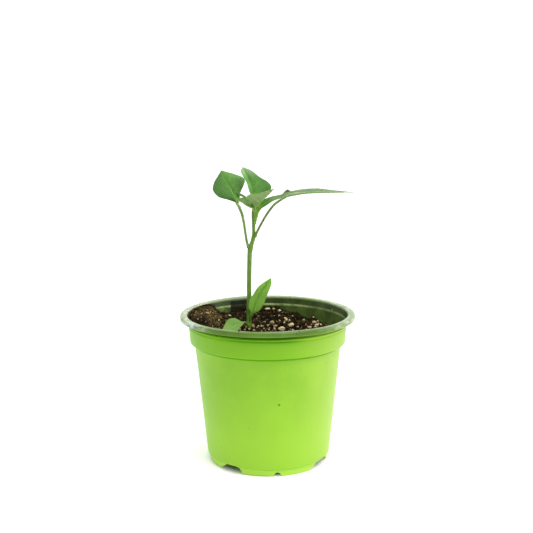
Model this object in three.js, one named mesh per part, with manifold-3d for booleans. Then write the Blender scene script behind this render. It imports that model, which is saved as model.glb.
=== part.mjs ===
// Young bell pepper plant growing in a round thin-walled nursery pot.
// Units are millimetres, +Z is up. The origin is on the pot's axis, at the plane the feet stand on.

import * as THREE from 'three';
import { mergeVertices } from 'three/addons/utils/BufferGeometryUtils.js';
import Module from 'manifold-3d';

const wasm = await Module();
wasm.setup();

// ---------- driving dimensions ----------
const WALL = 0.8;            // thickness of the formed sheet
const RIM_R = 57.5;          // outer edge of the turned-over lip
const RIM_INNER_R = 53.0;    // inner edge of the lip's flat top
const RIM_Z = 97.6;          // top of the lip
const LIP_Z = 94.7;          // free lower edge of the lip
const BEAD_Z = 91.8;         // small step under the lip
const COLLAR_TOP_R = 52.0;   // collar, just under the step
const COLLAR_BOTTOM_R = 51.2;
const COLLAR_Z = 79.9;       // lower edge of the collar
const BODY_TOP_R = 48.0;     // body, where the collar's bevel ends
const BODY_TOP_Z = 77.6;
const BODY_BOTTOM_R = 40.6;
const BODY_BOTTOM_Z = 5.7;
const STEP_Z = 4.15;         // faint step over the foot ring
const FOOT_R = 39.1;         // outside of the foot ring
const FOOT_INNER_R = 36.4;   // inside of the foot ring, at the floor
const BASE_Z = 5.4;          // underside of the raised base
const NOTCH_Z = 5.2;         // top of the drain notches between the feet
const ARCH_R = 2.3;          // small arch through the middle of each foot
const SEGMENTS = 56;

// drain notches: angle from the front (-Y) towards +X, degrees: foot end, notch top start, notch top end, next foot
const NOTCHES = [
  [-54, -41, -29, -24.5],
  [42, 56, 68, 79],
  [134, 142, 154, 164],
  [-142, -132, -120, -110],
];
const ARCHES = [8.9, 106.5, 191, -82];

const SOIL_Z = 86.2;         // level of the potting mix round the stem
const SOIL_GAP = 0.4;        // clearance of the mix to the pot's wall
const GAP = 0.3;             // clearance where one piece meets another
const LEAF_T = 0.5;          // thickness of a leaf blade
const SOCKET_Z = 80.0;       // floor of the stem's socket in the mix

// ---------- plant: points are [x, y, z], with a radius as the fourth number where the piece is round ----------
const STEM = [
  [-12.65, 0.6, 80.4, 1.55], [-12.65, 0.3, 85.2, 1.50], [-12.62, 0.1, 90.0, 1.47], [-12.55, 0.0, 96.8, 1.50],
  [-12.38, 0.3, 107.4, 1.50], [-12.32, 0.9, 119.3, 1.48], [-12.1, 1.2, 131.2, 1.50], [-11.7, 1.0, 138.8, 1.56],
  [-10.85, 0.8, 142.4, 1.36], [-9.9, 0.6, 145.4, 1.26], [-9.2, 0.6, 148.7, 1.14], [-9.25, 0.7, 152.9, 1.04],
  [-9.3, 0.8, 157.5, 1.06], [-9.25, 0.8, 161.7, 1.28], [-8.7, 0.7, 165.0, 1.50], [-8.3, 0.6, 167.6, 1.30],
];

// A leaf has a stalk, then a midrib and two margins that start together at the blade's base and meet at its tip.
const LEAVES = {
  leaf_left: {
    color: 0x4f8f3c,
    stalk: [[-12.7, 0.2, 140.7, 0.84], [-13.8, 0.9, 144.7, 0.80], [-14.7, 2.0, 150.1, 0.78], [-15.7, 3.4, 156.5, 0.82], [-17.0, 4.6, 162.4, 0.88], [-18.1, 5.0, 165.1, 0.95], [-19.0, 5.4, 167.3, 1.02]],
    mid: [[-19.1, 5.4, 167.4], [-20.1, 5.9, 168.9], [-21.1, 7.7, 171.8], [-23.0, 12.3, 174.7], [-25.1, 17.2, 177.9], [-27.3, 22.0, 181.3], [-29.4, 26.7, 184.8], [-31.5, 32.1, 188.9]],
    left: [[-19.1, 5.4, 167.4], [-21.0, 5.4, 169.4], [-26.1, 6.0, 171.7], [-32.9, 8.0, 173.5], [-36.1, 12.5, 176.8], [-35.8, 19.2, 181.5], [-33.7, 25.5, 185.1], [-31.5, 32.1, 188.9]],
    right: [[-19.1, 5.4, 167.4], [-19.1, 6.2, 169.2], [-18.6, 7.4, 171.8], [-18.1, 11.4, 175.1], [-16.1, 17.6, 180.3], [-15.7, 22.9, 183.8], [-22.3, 27.4, 186.6], [-31.5, 32.1, 188.9]],
  },
  leaf_right: {
    color: 0x7fa366,
    stalk: [[-8.5, -0.4, 148.1, 0.85], [-7.0, -1.0, 151.4, 0.77], [-4.6, -1.7, 156.2, 0.73], [-0.3, -2.6, 163.6, 0.73], [4.2, -3.2, 169.3, 0.75], [7.8, -3.4, 172.0, 0.79]],
    mid: [[8.0, -3.4, 172.2], [11.8, -3.2, 174.4], [17.4, -2.8, 175.7], [24.7, -2.2, 176.6], [33.4, -1.6, 176.9], [43.7, -0.8, 176.9], [55.6, 0.2, 176.7]],
    left: [[8.0, -3.4, 172.2], [10.3, 4.8, 175.1], [14.5, 8.8, 176.4], [22.3, 10.6, 177.3], [30.7, 9.8, 178.4], [43.0, 6.8, 176.9], [55.6, 0.2, 176.7]],
    right: [[8.0, -3.4, 172.2], [9.9, -8.6, 175.2], [15.1, -12.4, 177.4], [22.6, -13.6, 178.6], [32.1, -12.2, 179.0], [43.2, -7.6, 178.0], [55.6, 0.2, 176.7]],
  },
  leaf_back: {
    color: 0x5c9a46,
    stalk: [[-8.4, 1.2, 164.3, 0.62], [-8.8, 1.9, 166.8, 0.60], [-9.2, 2.6, 169.1, 0.62], [-9.6, 3.2, 171.2, 0.66]],
    mid: [[-9.6, 3.3, 171.4], [-9.9, 5.4, 174.3], [-10.7, 8.4, 177.9], [-11.9, 11.4, 181.8], [-13.4, 14.0, 185.5], [-15.1, 16.2, 188.9], [-16.7, 18.2, 192.0]],
    left: [[-9.6, 3.3, 171.4], [-11.0, 2.2, 174.6], [-12.3, 2.8, 178.6], [-14.0, 5.0, 182.5], [-15.6, 8.0, 185.9], [-17.8, 12.2, 189.4], [-16.7, 18.2, 192.0]],
    right: [[-9.6, 3.3, 171.4], [-1.8, 5.2, 175.1], [2.2, 8.2, 179.2], [-0.4, 11.6, 182.7], [-6.0, 14.8, 186.1], [-11.3, 17.2, 189.9], [-16.7, 18.2, 192.0]],
  },
  leaf_young_front: {
    color: 0x86a868,
    stalk: [[-8.0, -0.2, 164.4, 0.60], [-8.1, -1.0, 166.1, 0.61], [-7.9, -1.9, 167.7, 0.63]],
    mid: [[-7.9, -2.0, 167.9], [-6.1, -4.2, 169.8], [-3.9, -7.2, 172.2], [-1.8, -10.2, 174.7], [0.2, -12.8, 176.8], [2.1, -14.8, 178.7], [3.9, -16.4, 180.4]],
    left: [[-7.9, -2.0, 167.9], [-8.4, -1.6, 171.8], [-7.4, -3.4, 174.3], [-4.7, -6.4, 176.1], [-1.8, -10.0, 177.8], [1.3, -13.6, 179.3], [3.9, -16.4, 180.4]],
    right: [[-7.9, -2.0, 167.9], [-11.8, -4.6, 171.4], [-14.0, -8.0, 174.1], [-11.5, -11.6, 176.1], [-4.8, -14.2, 177.8], [0.6, -15.8, 179.4], [3.9, -16.4, 180.4]],
  },
  leaf_young_right: {
    color: 0x5f9a36,
    stalk: [[-8.7, 0.4, 156.2, 0.62], [-8.0, 0.4, 159.1, 0.85], [-7.5, 0.6, 161.5, 1.05], [-6.8, 1.0, 164.0, 0.95]],
    mid: [[-6.8, 1.0, 164.0], [-5.0, 1.6, 166.5], [-2.8, 2.6, 168.5], [-0.1, 3.8, 170.1], [2.9, 5.2, 171.5], [6.2, 7.0, 172.5], [9.6, 8.8, 173.8], [12.1, 10.2, 175.7], [12.9, 11.0, 177.9]],
    left: [[-6.8, 1.0, 164.0], [-6.7, 3.6, 168.0], [-4.7, 6.6, 170.7], [-1.3, 9.0, 172.2], [2.4, 10.8, 173.0], [6.2, 11.8, 173.7], [9.4, 12.2, 174.7], [11.1, 11.8, 176.5], [12.9, 11.0, 177.9]],
    right: [[-6.8, 1.0, 164.0], [-4.4, -0.9, 166.1], [-1.8, -2.2, 168.2], [1.0, -2.4, 170.0], [4.1, -1.0, 171.4], [7.1, 2.2, 172.4], [11.3, 6.0, 173.9], [15.2, 9.6, 176.2], [12.9, 11.0, 177.9]],
  },
  leaf_young_left: {
    color: 0x7f9f5a,
    stalk: [[-8.8, -0.4, 164.8, 0.55], [-9.6, -1.2, 166.4, 0.55], [-10.8, -1.9, 167.4, 0.55]],
    mid: [[-10.5, -2.0, 167.1], [-12.4, -3.2, 168.2], [-14.3, -4.6, 169.4], [-15.9, -6.0, 170.7], [-17.6, -7.3, 171.7], [-19.1, -8.4, 172.3], [-20.4, -9.3, 173.2]],
    left: [[-10.5, -2.0, 167.1], [-12.0, -3.6, 170.9], [-13.8, -5.8, 172.6], [-15.8, -7.6, 173.4], [-17.4, -8.8, 174.0], [-18.9, -9.4, 174.2], [-20.4, -9.3, 173.2]],
    right: [[-10.5, -2.0, 167.1], [-10.5, -0.4, 171.1], [-12.5, 0.0, 173.0], [-14.8, -1.0, 173.6], [-16.5, -3.0, 173.7], [-18.4, -6.0, 173.6], [-20.4, -9.3, 173.2]],
  },
  leaf_young_back: {
    color: 0x4e8038,
    stalk: [[-9.3, 1.6, 165.5, 0.50], [-10.3, 2.6, 168.5, 0.48], [-11.8, 3.6, 170.8, 0.48]],
    mid: [[-11.9, 3.7, 171.0], [-13.2, 4.8, 171.9], [-14.8, 6.2, 172.8], [-16.4, 7.6, 173.7], [-18.1, 9.0, 174.4], [-19.9, 10.4, 175.1], [-21.5, 11.8, 176.0]],
    left: [[-11.9, 3.7, 171.0], [-13.3, 3.0, 171.7], [-14.7, 3.2, 172.6], [-16.3, 4.2, 173.3], [-18.1, 6.2, 173.9], [-19.8, 8.8, 174.7], [-21.5, 11.8, 176.0]],
    right: [[-11.9, 3.7, 171.0], [-13.1, 7.2, 172.1], [-15.0, 9.6, 173.3], [-16.9, 11.2, 174.3], [-18.6, 12.2, 175.0], [-20.2, 12.4, 175.5], [-21.5, 11.8, 176.0]],
  },
  seed_leaf_right: {
    color: 0x6ca648,
    stalk: [[-12.1, -0.5, 90.5, 0.62], [-11.6, -1.6, 93.3, 0.60], [-11.2, -2.4, 95.7, 0.60], [-10.3, -2.9, 97.0, 0.66]],
    mid: [[-10.3, -2.9, 97.3], [-9.4, -2.6, 100.8], [-7.8, -1.6, 105.1], [-5.7, -0.4, 109.3], [-3.3, 0.8, 113.1], [-0.7, 2.2, 116.7], [2.1, 3.6, 120.3]],
    left: [[-10.3, -2.9, 97.3], [-12.5, -3.8, 101.1], [-12.2, -3.6, 105.8], [-10.0, -2.6, 109.7], [-6.8, -1.0, 114.7], [-2.3, 1.0, 118.0], [2.1, 3.6, 120.3]],
    right: [[-10.3, -2.9, 97.3], [-5.6, -3.6, 99.8], [-2.8, -3.2, 104.3], [-0.9, -2.0, 108.7], [0.9, -0.6, 112.9], [2.3, 1.4, 116.9], [2.1, 3.6, 120.3]],
  },
  seed_leaf_left: {
    color: 0x74a850,
    stalk: [[-13.4, -0.8, 89.3, 0.72], [-14.0, -2.2, 90.9, 0.66], [-15.1, -3.6, 92.1, 0.66]],
    mid: [[-15.2, -3.7, 92.1], [-17.4, -7.2, 92.4], [-19.8, -11.2, 92.3], [-22.1, -15.6, 91.9], [-24.5, -20.0, 90.9], [-27.0, -24.2, 89.5], [-29.5, -27.6, 87.6]],
    left: [[-15.2, -3.7, 92.1], [-16.2, -8.2, 91.6], [-17.8, -13.6, 91.0], [-19.6, -19.4, 89.6], [-22.3, -24.6, 88.4], [-25.7, -27.8, 87.5], [-29.5, -27.6, 87.6]],
    right: [[-15.2, -3.7, 92.1], [-17.8, -5.2, 93.1], [-21.7, -7.6, 95.6], [-25.8, -11.6, 95.5], [-28.3, -17.4, 92.3], [-29.8, -23.2, 89.5], [-29.5, -27.6, 87.6]],
  },
};

// larger grains of perlite and bark lying on the mix: x, y, length, width, height, turn in degrees
const GRAINS = [
  [8.9, -4.1, 5.6, 3.5, 3.2, 10], [15.1, 6.3, 5.4, 3.3, 2.5, 12], [2.7, 12.3, 3.1, 2.2, 2.4, 0], [-9.8, 4.0, 2.0, 2.6, 2.8, 70],
  [-4.4, 5.7, 2.3, 2.2, 2.4, 40], [12.1, 24.2, 4.7, 2.9, 1.8, -38], [-0.2, 46.8, 4.5, 2.8, 2.0, 8], [4.2, 46.4, 2.0, 1.6, 1.7, 0],
  [8.2, 45.2, 2.6, 1.8, 2.0, 25], [-26.0, 28.9, 3.3, 2.1, 1.3, -30], [32.7, 8.4, 3.5, 2.1, 2.2, 30], [32.2, 31.1, 3.7, 2.3, 2.1, 0],
  [-40.1, 3.6, 3.3, 2.1, 1.6, -15], [5.1, 4.6, 2.9, 1.8, 2.0, 20],
];

// ---------- geometry helpers ----------
const V = (p) => new THREE.Vector3(p[0], p[1], p[2]);

// welds a geometry, drops triangles that have no area, and makes it a solid
function solid(geometry) {
  let g = geometry.index ? geometry.toNonIndexed() : geometry.clone();
  for (const name of Object.keys(g.attributes)) if (name !== 'position') g.deleteAttribute(name);
  g = mergeVertices(g, 1e-4);
  const index = [];
  for (let i = 0; i < g.index.count; i += 3) {
    const a = g.index.getX(i), b = g.index.getX(i + 1), c = g.index.getX(i + 2);
    if (a !== b && b !== c && c !== a) index.push(a, b, c);
  }
  const mesh = new wasm.Mesh({
    numProp: 3,
    vertProperties: new Float32Array(g.attributes.position.array),
    triVerts: new Uint32Array(index),
  });
  const made = new wasm.Manifold(mesh);
  if (made.volume() >= 0) return made;
  for (let i = 0; i < index.length; i += 3) [index[i], index[i + 1]] = [index[i + 1], index[i]];
  return new wasm.Manifold(new wasm.Mesh({
    numProp: 3, vertProperties: new Float32Array(g.attributes.position.array), triVerts: new Uint32Array(index),
  }));
}

function geometryOf(body) {
  const m = body.getMesh();
  const g = new THREE.BufferGeometry();
  g.setAttribute('position', new THREE.BufferAttribute(new Float32Array(m.vertProperties), 3));
  g.setIndex(new THREE.BufferAttribute(new Uint32Array(m.triVerts), 1));
  g.computeVertexNormals();
  return g;
}

// the largest piece, where a cut left crumbs
function mainPiece(body) {
  const parts = body.decompose();
  parts.sort((a, b) => b.volume() - a.volume());
  return parts[0];
}

// profile of [r, z] pairs turned about +Z
function turned(profile, segments) {
  const g = new THREE.LatheGeometry(profile.map(([r, z]) => new THREE.Vector2(r, z)), segments);
  g.rotateX(Math.PI / 2);
  return g;
}

// a round bar that follows points and takes its radius from the fourth number of each
function bar(points, sides, steps, grow = 0) {
  const curve = new THREE.CatmullRomCurve3(points.map(V), false, 'centripetal');
  const n = points.length - 1;
  const frames = curve.computeFrenetFrames(steps, false);
  const g = new THREE.CylinderGeometry(1, 1, 1, sides, steps);
  const pos = g.attributes.position;
  for (let i = 0; i < pos.count; i++) {
    const t = THREE.MathUtils.clamp(pos.getY(i) + 0.5, 0, 1);
    const k = Math.round(t * steps);
    const f = curve.getUtoTmapping(t) * n;
    const a = Math.min(Math.floor(f), n - 1);
    const r = THREE.MathUtils.lerp(points[a][3], points[a + 1][3], f - a) + grow;
    const c = curve.getPointAt(t);
    c.addScaledVector(frames.normals[k], pos.getX(i) * r).addScaledVector(frames.binormals[k], pos.getZ(i) * r);
    if (grow) c.addScaledVector(frames.tangents[k], (t === 0 ? -grow : t === 1 ? grow : 0));
    pos.setXYZ(i, c.x, c.y, c.z);
  }
  return solid(g);
}

// a thin blade between two margins, troughed along its midrib and gently domed on each side of it
function blade({ mid, left, right }, along, across, grow = 0) {
  const M = new THREE.CatmullRomCurve3(mid.map(V), false, 'centripetal');
  const L = new THREE.CatmullRomCurve3(left.map(V), false, 'centripetal');
  const R = new THREE.CatmullRomCurve3(right.map(V), false, 'centripetal');
  const surface = (s, t) => {
    const tt = 0.03 + 0.955 * t;
    const m = M.getPoint(tt), e = (s < 0 ? L : R).getPoint(tt);
    const a = Math.abs(s);
    return m.clone().lerp(e, a);
  };
  const g = new THREE.BoxGeometry(2, 1, 1, across, along, 1);
  const pos = g.attributes.position;
  const du = new THREE.Vector3(), dv = new THREE.Vector3();
  for (let i = 0; i < pos.count; i++) {
    const s = pos.getX(i), t = pos.getY(i) + 0.5, side = pos.getZ(i) > 0 ? 1 : -1;
    const p = surface(s, t);
    const e = 0.12;
    du.copy(surface(Math.min(1, s + e), t)).sub(surface(Math.max(-1, s - e), t));
    dv.copy(surface(s, Math.min(1, t + e))).sub(surface(s, Math.max(0, t - e)));
    const n = du.cross(dv).normalize();
    const a = Math.abs(s);
    const half = surface(s < 0 ? -1 : 1, t).distanceTo(surface(0, t));
    p.addScaledVector(n, 0.28 * half * a * (1 - a));
    if (grow) {
      const out = surface(s < 0 ? -1 : 1, t).sub(surface(0, t)).normalize();
      if (a > 0.99) p.addScaledVector(out, grow);
    }
    p.addScaledVector(n, side * (LEAF_T / 2 + grow));
    pos.setXYZ(i, p.x, p.y, p.z);
  }
  return solid(g);
}

// stalk, midrib and blade are one piece
function leaf(data, along, across, grow = 0) {
  const ribs = data.mid.slice(1, 5).map((p, i) => [p[0], p[1], p[2], 0.55 - 0.07 * i]);
  const b = blade(data, along, across, grow);
  const s = bar([...data.stalk, ...ribs], 6, data.stalk.length * 2 + 4, grow);
  return b.add(s);
}

function polar(angle, r, z) {
  const a = THREE.MathUtils.degToRad(angle);
  return [r * Math.sin(a), -r * Math.cos(a), z];
}

// ---------- pot ----------
const potProfile = [
  // underside of the raised base, foot ring, body, collar, lip
  [0, BASE_Z], [FOOT_INNER_R - 0.9, BASE_Z], [FOOT_INNER_R - 0.6, BASE_Z - 0.4], [FOOT_INNER_R - 0.1, 0.5], [FOOT_INNER_R + 0.2, 0],
  [FOOT_R - 0.5, 0], [FOOT_R - 0.1, 0.4], [FOOT_R, STEP_Z - 0.5], [FOOT_R + 0.15, STEP_Z],
  [BODY_BOTTOM_R - 0.5, BODY_BOTTOM_Z - 1.1], [BODY_BOTTOM_R, BODY_BOTTOM_Z], [BODY_TOP_R, BODY_TOP_Z],
  [BODY_TOP_R + 0.5, BODY_TOP_Z + 0.7], [COLLAR_BOTTOM_R - 0.3, COLLAR_Z - 0.7], [COLLAR_BOTTOM_R, COLLAR_Z],
  [COLLAR_TOP_R, BEAD_Z - 0.8], [COLLAR_TOP_R + 0.5, BEAD_Z], [COLLAR_TOP_R + 0.7, RIM_Z - 2.2], [COLLAR_TOP_R + 1.3, RIM_Z - WALL - 0.5],
  [RIM_INNER_R + 1.0, RIM_Z - WALL - 0.05], [RIM_R - 1.5, RIM_Z - WALL - 0.1], [RIM_R - WALL - 0.1, RIM_Z - WALL - 0.8], [RIM_R - WALL - 0.1, LIP_Z + 0.6], [RIM_R - WALL - 0.5, LIP_Z],
  [RIM_R - 0.4, LIP_Z], [RIM_R, LIP_Z + 0.6], [RIM_R, RIM_Z - 1.2], [RIM_R - 0.5, RIM_Z - 0.3], [RIM_R - 1.4, RIM_Z],
  [RIM_INNER_R + 0.9, RIM_Z], [RIM_INNER_R, RIM_Z - 0.5],
  // inside
  [COLLAR_TOP_R + 0.7 - WALL, RIM_Z - 2.2], [COLLAR_TOP_R + 0.5 - WALL, BEAD_Z + 0.1], [COLLAR_TOP_R - WALL, BEAD_Z - 0.7],
  [COLLAR_BOTTOM_R - WALL, COLLAR_Z + 0.3], [COLLAR_BOTTOM_R - WALL - 0.5, COLLAR_Z - 0.4], [BODY_TOP_R - WALL + 0.2, BODY_TOP_Z + 0.5], [BODY_TOP_R - WALL, BODY_TOP_Z - 0.3],
  [BODY_BOTTOM_R - WALL, BODY_BOTTOM_Z + 0.2], [FOOT_R - WALL - 0.1, STEP_Z + 0.4], [FOOT_R - WALL - 0.2, WALL + 0.2], [FOOT_R - WALL - 0.4, WALL],
  [FOOT_INNER_R + 0.9, WALL], [FOOT_INNER_R + 0.65, WALL + 0.3], [FOOT_INNER_R + 0.15, BASE_Z], [FOOT_INNER_R - 0.3, BASE_Z + WALL], [0, BASE_Z + WALL],
];

function notchCutter([b0, t0, t1, b1]) {
  // hexahedron: wide at the floor, narrower at the top, long enough to pass right through the foot ring
  const g = new THREE.BoxGeometry(2, 2, 2);
  const pos = g.attributes.position;
  const low = -1, slope0 = (t0 - b0) / NOTCH_Z, slope1 = (t1 - b1) / NOTCH_Z;
  for (let i = 0; i < pos.count; i++) {
    const first = pos.getX(i) < 0, outer = pos.getY(i) > 0, top = pos.getZ(i) > 0;
    const angle = top ? (first ? t0 : t1) : (first ? b0 + slope0 * low : b1 + slope1 * low);
    const p = polar(angle, outer ? 44.5 : 34.2, top ? NOTCH_Z : low);
    pos.setXYZ(i, p[0], p[1], p[2]);
  }
  return solid(g);
}

function archCutter(angle) {
  const g = new THREE.CylinderGeometry(ARCH_R, ARCH_R, 9, 14);
  g.scale(1, 1, 1.15);
  const p = polar(angle, 38, 0);
  g.rotateZ(THREE.MathUtils.degToRad(angle));
  g.translate(p[0], p[1], 0);
  return solid(g);
}

let potBody = solid(turned(potProfile, SEGMENTS));
for (const n of NOTCHES) potBody = potBody.subtract(notchCutter(n));
for (const a of ARCHES) potBody = potBody.subtract(archCutter(a));

// ---------- potting mix ----------
const smooth = (a, b, x) => { const t = THREE.MathUtils.clamp((x - a) / (b - a), 0, 1); return t * t * (3 - 2 * t); };
const hill = (x, y, cx, cy, sx, sy) => Math.exp(-(((x - cx) / sx) ** 2 + ((y - cy) / sy) ** 2));

// height of the mix: rises to the back wall, heaped against the left of the rim, falling away to the right
function soilHeight(x, y) {
  let h = SOIL_Z + 0.075 * Math.max(0, y + 1) - 0.02 * Math.max(0, -y - 6);
  h -= 6.0 * smooth(1, 30, x) * smooth(2, 38, y);
  h -= 2.2 * smooth(33, 44, x);
  h += 1.5 * hill(x, y, 21.5, 46, 4, 5) + 0.9 * hill(x, y, -12, 44, 8, 8) + 3.0 * hill(x, y, 31.3, 38.2, 2.6, 2.6);
  h += (95.6 - h) * (1 - smooth(-40, -29, x)) * smooth(-26, -10, y) * (1 - smooth(33, 38.5, y));
  h += 0.4 * Math.sin(0.55 * x + 0.9) * Math.cos(0.48 * y - 0.4) + 0.3 * Math.sin(0.83 * x - 0.61 * y);
  return h;
}

const SOIL_EDGE_R = COLLAR_BOTTOM_R - WALL - SOIL_GAP;
const soilRings = [];
for (let i = 0; i <= 11; i++) soilRings.push([SOIL_EDGE_R * (1 - i / 11), 1000]);
const soilProfile = [
  [0, BASE_Z + WALL + 0.3], [BODY_BOTTOM_R - WALL - SOIL_GAP - 0.3, BASE_Z + WALL + 0.3],
  [BODY_TOP_R - WALL - SOIL_GAP - 0.1, BODY_TOP_Z + 0.3], [COLLAR_BOTTOM_R - WALL - SOIL_GAP - 0.3, COLLAR_Z + 0.5], ...soilRings,
];
const soilGeometry = turned(soilProfile, 48);
{
  const pos = soilGeometry.attributes.position;
  for (let i = 0; i < pos.count; i++) if (pos.getZ(i) > 900) pos.setZ(i, soilHeight(pos.getX(i), pos.getY(i)));
}
let soilBody = solid(soilGeometry);

// ---------- stem and leaves ----------
const stemBody = bar(STEM, 8, 34);
const stemRoom = bar(STEM, 8, 34, GAP);
soilBody = soilBody.subtract(stemRoom);
{
  // round socket that the stem's foot stands in
  const socket = new THREE.CylinderGeometry(1.75 + GAP, 1.75 + GAP, 20, 12);
  socket.rotateX(Math.PI / 2);
  socket.translate(-12.6, 0.35, SOCKET_Z + 10);
  soilBody = soilBody.subtract(solid(socket));
}

const DETAIL = {
  leaf_left: [10, 6], leaf_right: [12, 6], leaf_back: [10, 6], leaf_young_front: [9, 4], leaf_young_right: [9, 4],
  leaf_young_left: [7, 4], leaf_young_back: [7, 4], seed_leaf_right: [9, 4], seed_leaf_left: [9, 4],
};
const leafBodies = {};
let occupied = stemRoom;
for (const [name, data] of Object.entries(LEAVES)) {
  const [along, across] = DETAIL[name];
  leafBodies[name] = mainPiece(leaf(data, along, across).subtract(occupied));
  occupied = occupied.add(leaf(data, along, across, GAP));
}
soilBody = mainPiece(soilBody.subtract(leaf(LEAVES.seed_leaf_left, 9, 4, GAP)));

// ---------- grains ----------
function grain([x, y, length, width, height, turn], k) {
  const g = new THREE.IcosahedronGeometry(1, 1);
  const pos = g.attributes.position;
  for (let i = 0; i < pos.count; i++) {
    const a = pos.getX(i), b = pos.getY(i), c = pos.getZ(i);
    const lump = 1 + 0.13 * Math.sin(4.1 * a + 1.7 * k) + 0.11 * Math.cos(3.7 * b - 2.3 * k) + 0.08 * Math.sin(5.3 * c + k);
    pos.setXYZ(i, (a * lump * length) / 2.3, (b * lump * width) / 2.3, (c * lump * height) / 2.3);
  }
  g.rotateZ(THREE.MathUtils.degToRad(turn));
  g.computeBoundingBox();
  let ground = -Infinity;
  for (let i = 0; i < 24; i++) {
    const a = (i * Math.PI) / 12;
    for (const f of [0, 0.5, 1]) ground = Math.max(ground, soilHeight(x + (f * Math.cos(a) * length) / 2.6, y + (f * Math.sin(a) * length) / 2.6));
  }
  g.translate(x, y, ground - g.boundingBox.min.z + GAP);
  return solid(g);
}

// ---------- scene graph ----------
const plant = new THREE.Group();

function add(group, name, body, color, roughness, metalness = 0) {
  const mesh = new THREE.Mesh(geometryOf(body), new THREE.MeshStandardMaterial({ color, roughness, metalness }));
  mesh.name = name;
  group.add(mesh);
}

const holder = new THREE.Group();
add(holder, 'pot', potBody, 0x95cf45, 0.45);
add(holder, 'potting_mix', soilBody, 0x30261a, 0.95);
plant.add(holder);

const seedling = new THREE.Group();
add(seedling, 'stem', stemBody, 0x6b913f, 0.55);
for (const [name, body] of Object.entries(leafBodies)) add(seedling, name, body, LEAVES[name].color, 0.5);
plant.add(seedling);

const grains = new THREE.Group();
GRAINS.forEach((gr, k) => {
  const body = grain(gr, k + 1);
  add(grains, `perlite_${String(k + 1).padStart(2, '0')}`, body, 0xcfc094, 0.9);
});
plant.add(grains);

export default plant;
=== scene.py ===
"""Potted bell pepper seedling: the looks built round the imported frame. Metres, +Z up; shapes are worked out in millimetres."""
import math

import bmesh
import bpy
import numpy as np
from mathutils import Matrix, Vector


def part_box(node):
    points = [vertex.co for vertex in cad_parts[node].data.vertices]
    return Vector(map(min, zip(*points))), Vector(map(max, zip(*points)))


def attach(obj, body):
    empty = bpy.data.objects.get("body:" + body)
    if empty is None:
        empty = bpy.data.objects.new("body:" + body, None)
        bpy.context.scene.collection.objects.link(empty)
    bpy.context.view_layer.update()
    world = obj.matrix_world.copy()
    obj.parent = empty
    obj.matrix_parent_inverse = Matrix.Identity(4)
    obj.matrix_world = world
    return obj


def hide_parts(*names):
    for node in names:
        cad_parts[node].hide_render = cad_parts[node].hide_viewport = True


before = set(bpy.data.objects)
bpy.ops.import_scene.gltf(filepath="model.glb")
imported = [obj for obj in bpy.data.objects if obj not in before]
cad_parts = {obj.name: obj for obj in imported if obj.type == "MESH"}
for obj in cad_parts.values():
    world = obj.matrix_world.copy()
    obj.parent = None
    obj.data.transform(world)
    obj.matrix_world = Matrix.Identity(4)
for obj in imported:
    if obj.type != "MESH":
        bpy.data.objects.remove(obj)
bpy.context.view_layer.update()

MM = 0.001


# ------------------------------------------------------------------ numbers

def smooth(a, b, x):
    t = np.clip((np.asarray(x, float) - a) / (b - a), 0, 1)
    return t * t * (3 - 2 * t)


def lattice(i, j, k, seed):
    h = (i * 73856093) ^ (j * 19349663) ^ (k * 83492791) ^ (seed * 265443577)
    h &= 0xFFFFFFFF
    h = ((h ^ (h >> 15)) * 0x2C1B3C6D) & 0xFFFFFFFF
    h = ((h ^ (h >> 12)) * 0x297A2D39) & 0xFFFFFFFF
    h ^= h >> 15
    return (h & 0xFFFFFF) / float(0xFFFFFF) * 2 - 1


def noise(p, seed=0):
    """Smooth value noise, -1 to 1, one unit per lump."""
    p = np.asarray(p, float)
    b = np.floor(p).astype(np.int64)
    f = p - b
    w = f * f * f * (f * (f * 6 - 15) + 10)
    out = np.zeros(p.shape[:-1])
    for dx in (0, 1):
        wx = w[..., 0] if dx else 1 - w[..., 0]
        for dy in (0, 1):
            wy = w[..., 1] if dy else 1 - w[..., 1]
            for dz in (0, 1):
                wz = w[..., 2] if dz else 1 - w[..., 2]
                out += lattice(b[..., 0] + dx, b[..., 1] + dy, b[..., 2] + dz, seed) * wx * wy * wz
    return out


def fbm(p, octaves=4, seed=0, gain=0.5):
    p = np.asarray(p, float)
    out, amp, total = 0.0, 1.0, 0.0
    for o in range(octaves):
        out = out + amp * noise(p * 2.03 ** o + 17.3 * o, seed + o)
        total += amp
        amp *= gain
    return out / total


def xyz(x, y, z=0.0):
    x, y = np.broadcast_arrays(np.asarray(x, float), np.asarray(y, float))
    return np.stack([x, y, np.broadcast_to(np.asarray(z, float), x.shape)], -1)


def unit(v):
    v = np.asarray(v, float)
    return v / np.maximum(np.linalg.norm(v, axis=-1, keepdims=True), 1e-12)


def spline(points, t):
    """Centripetal Catmull-Rom through points, t from 0 to 1 with equal steps between neighbours."""
    P = np.asarray([p[:3] for p in points], float)
    n = len(P)
    p = (n - 1) * np.clip(np.asarray(t, float), 0, 1)
    i = np.minimum(np.floor(p).astype(int), n - 2)
    w = (p - i)[..., None]
    X = np.vstack([2 * P[0] - P[1], P, 2 * P[-1] - P[-2]])
    p0, p1, p2, p3 = X[i], X[i + 1], X[i + 2], X[i + 3]
    gap = lambda a, b: np.maximum(((a - b) ** 2).sum(-1) ** 0.25, 1e-4)[..., None]
    d0, d1, d2 = gap(p0, p1), gap(p1, p2), gap(p2, p3)
    t1 = ((p1 - p0) / d0 - (p2 - p0) / (d0 + d1) + (p2 - p1) / d1) * d1
    t2 = ((p2 - p1) / d1 - (p3 - p1) / (d1 + d2) + (p3 - p2) / d2) * d1
    c2 = -3 * p1 + 3 * p2 - 2 * t1 - t2
    c3 = 2 * p1 - 2 * p2 + t1 + t2
    return p1 + t1 * w + c2 * w ** 2 + c3 * w ** 3


# ------------------------------------------------------------------ meshes

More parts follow.
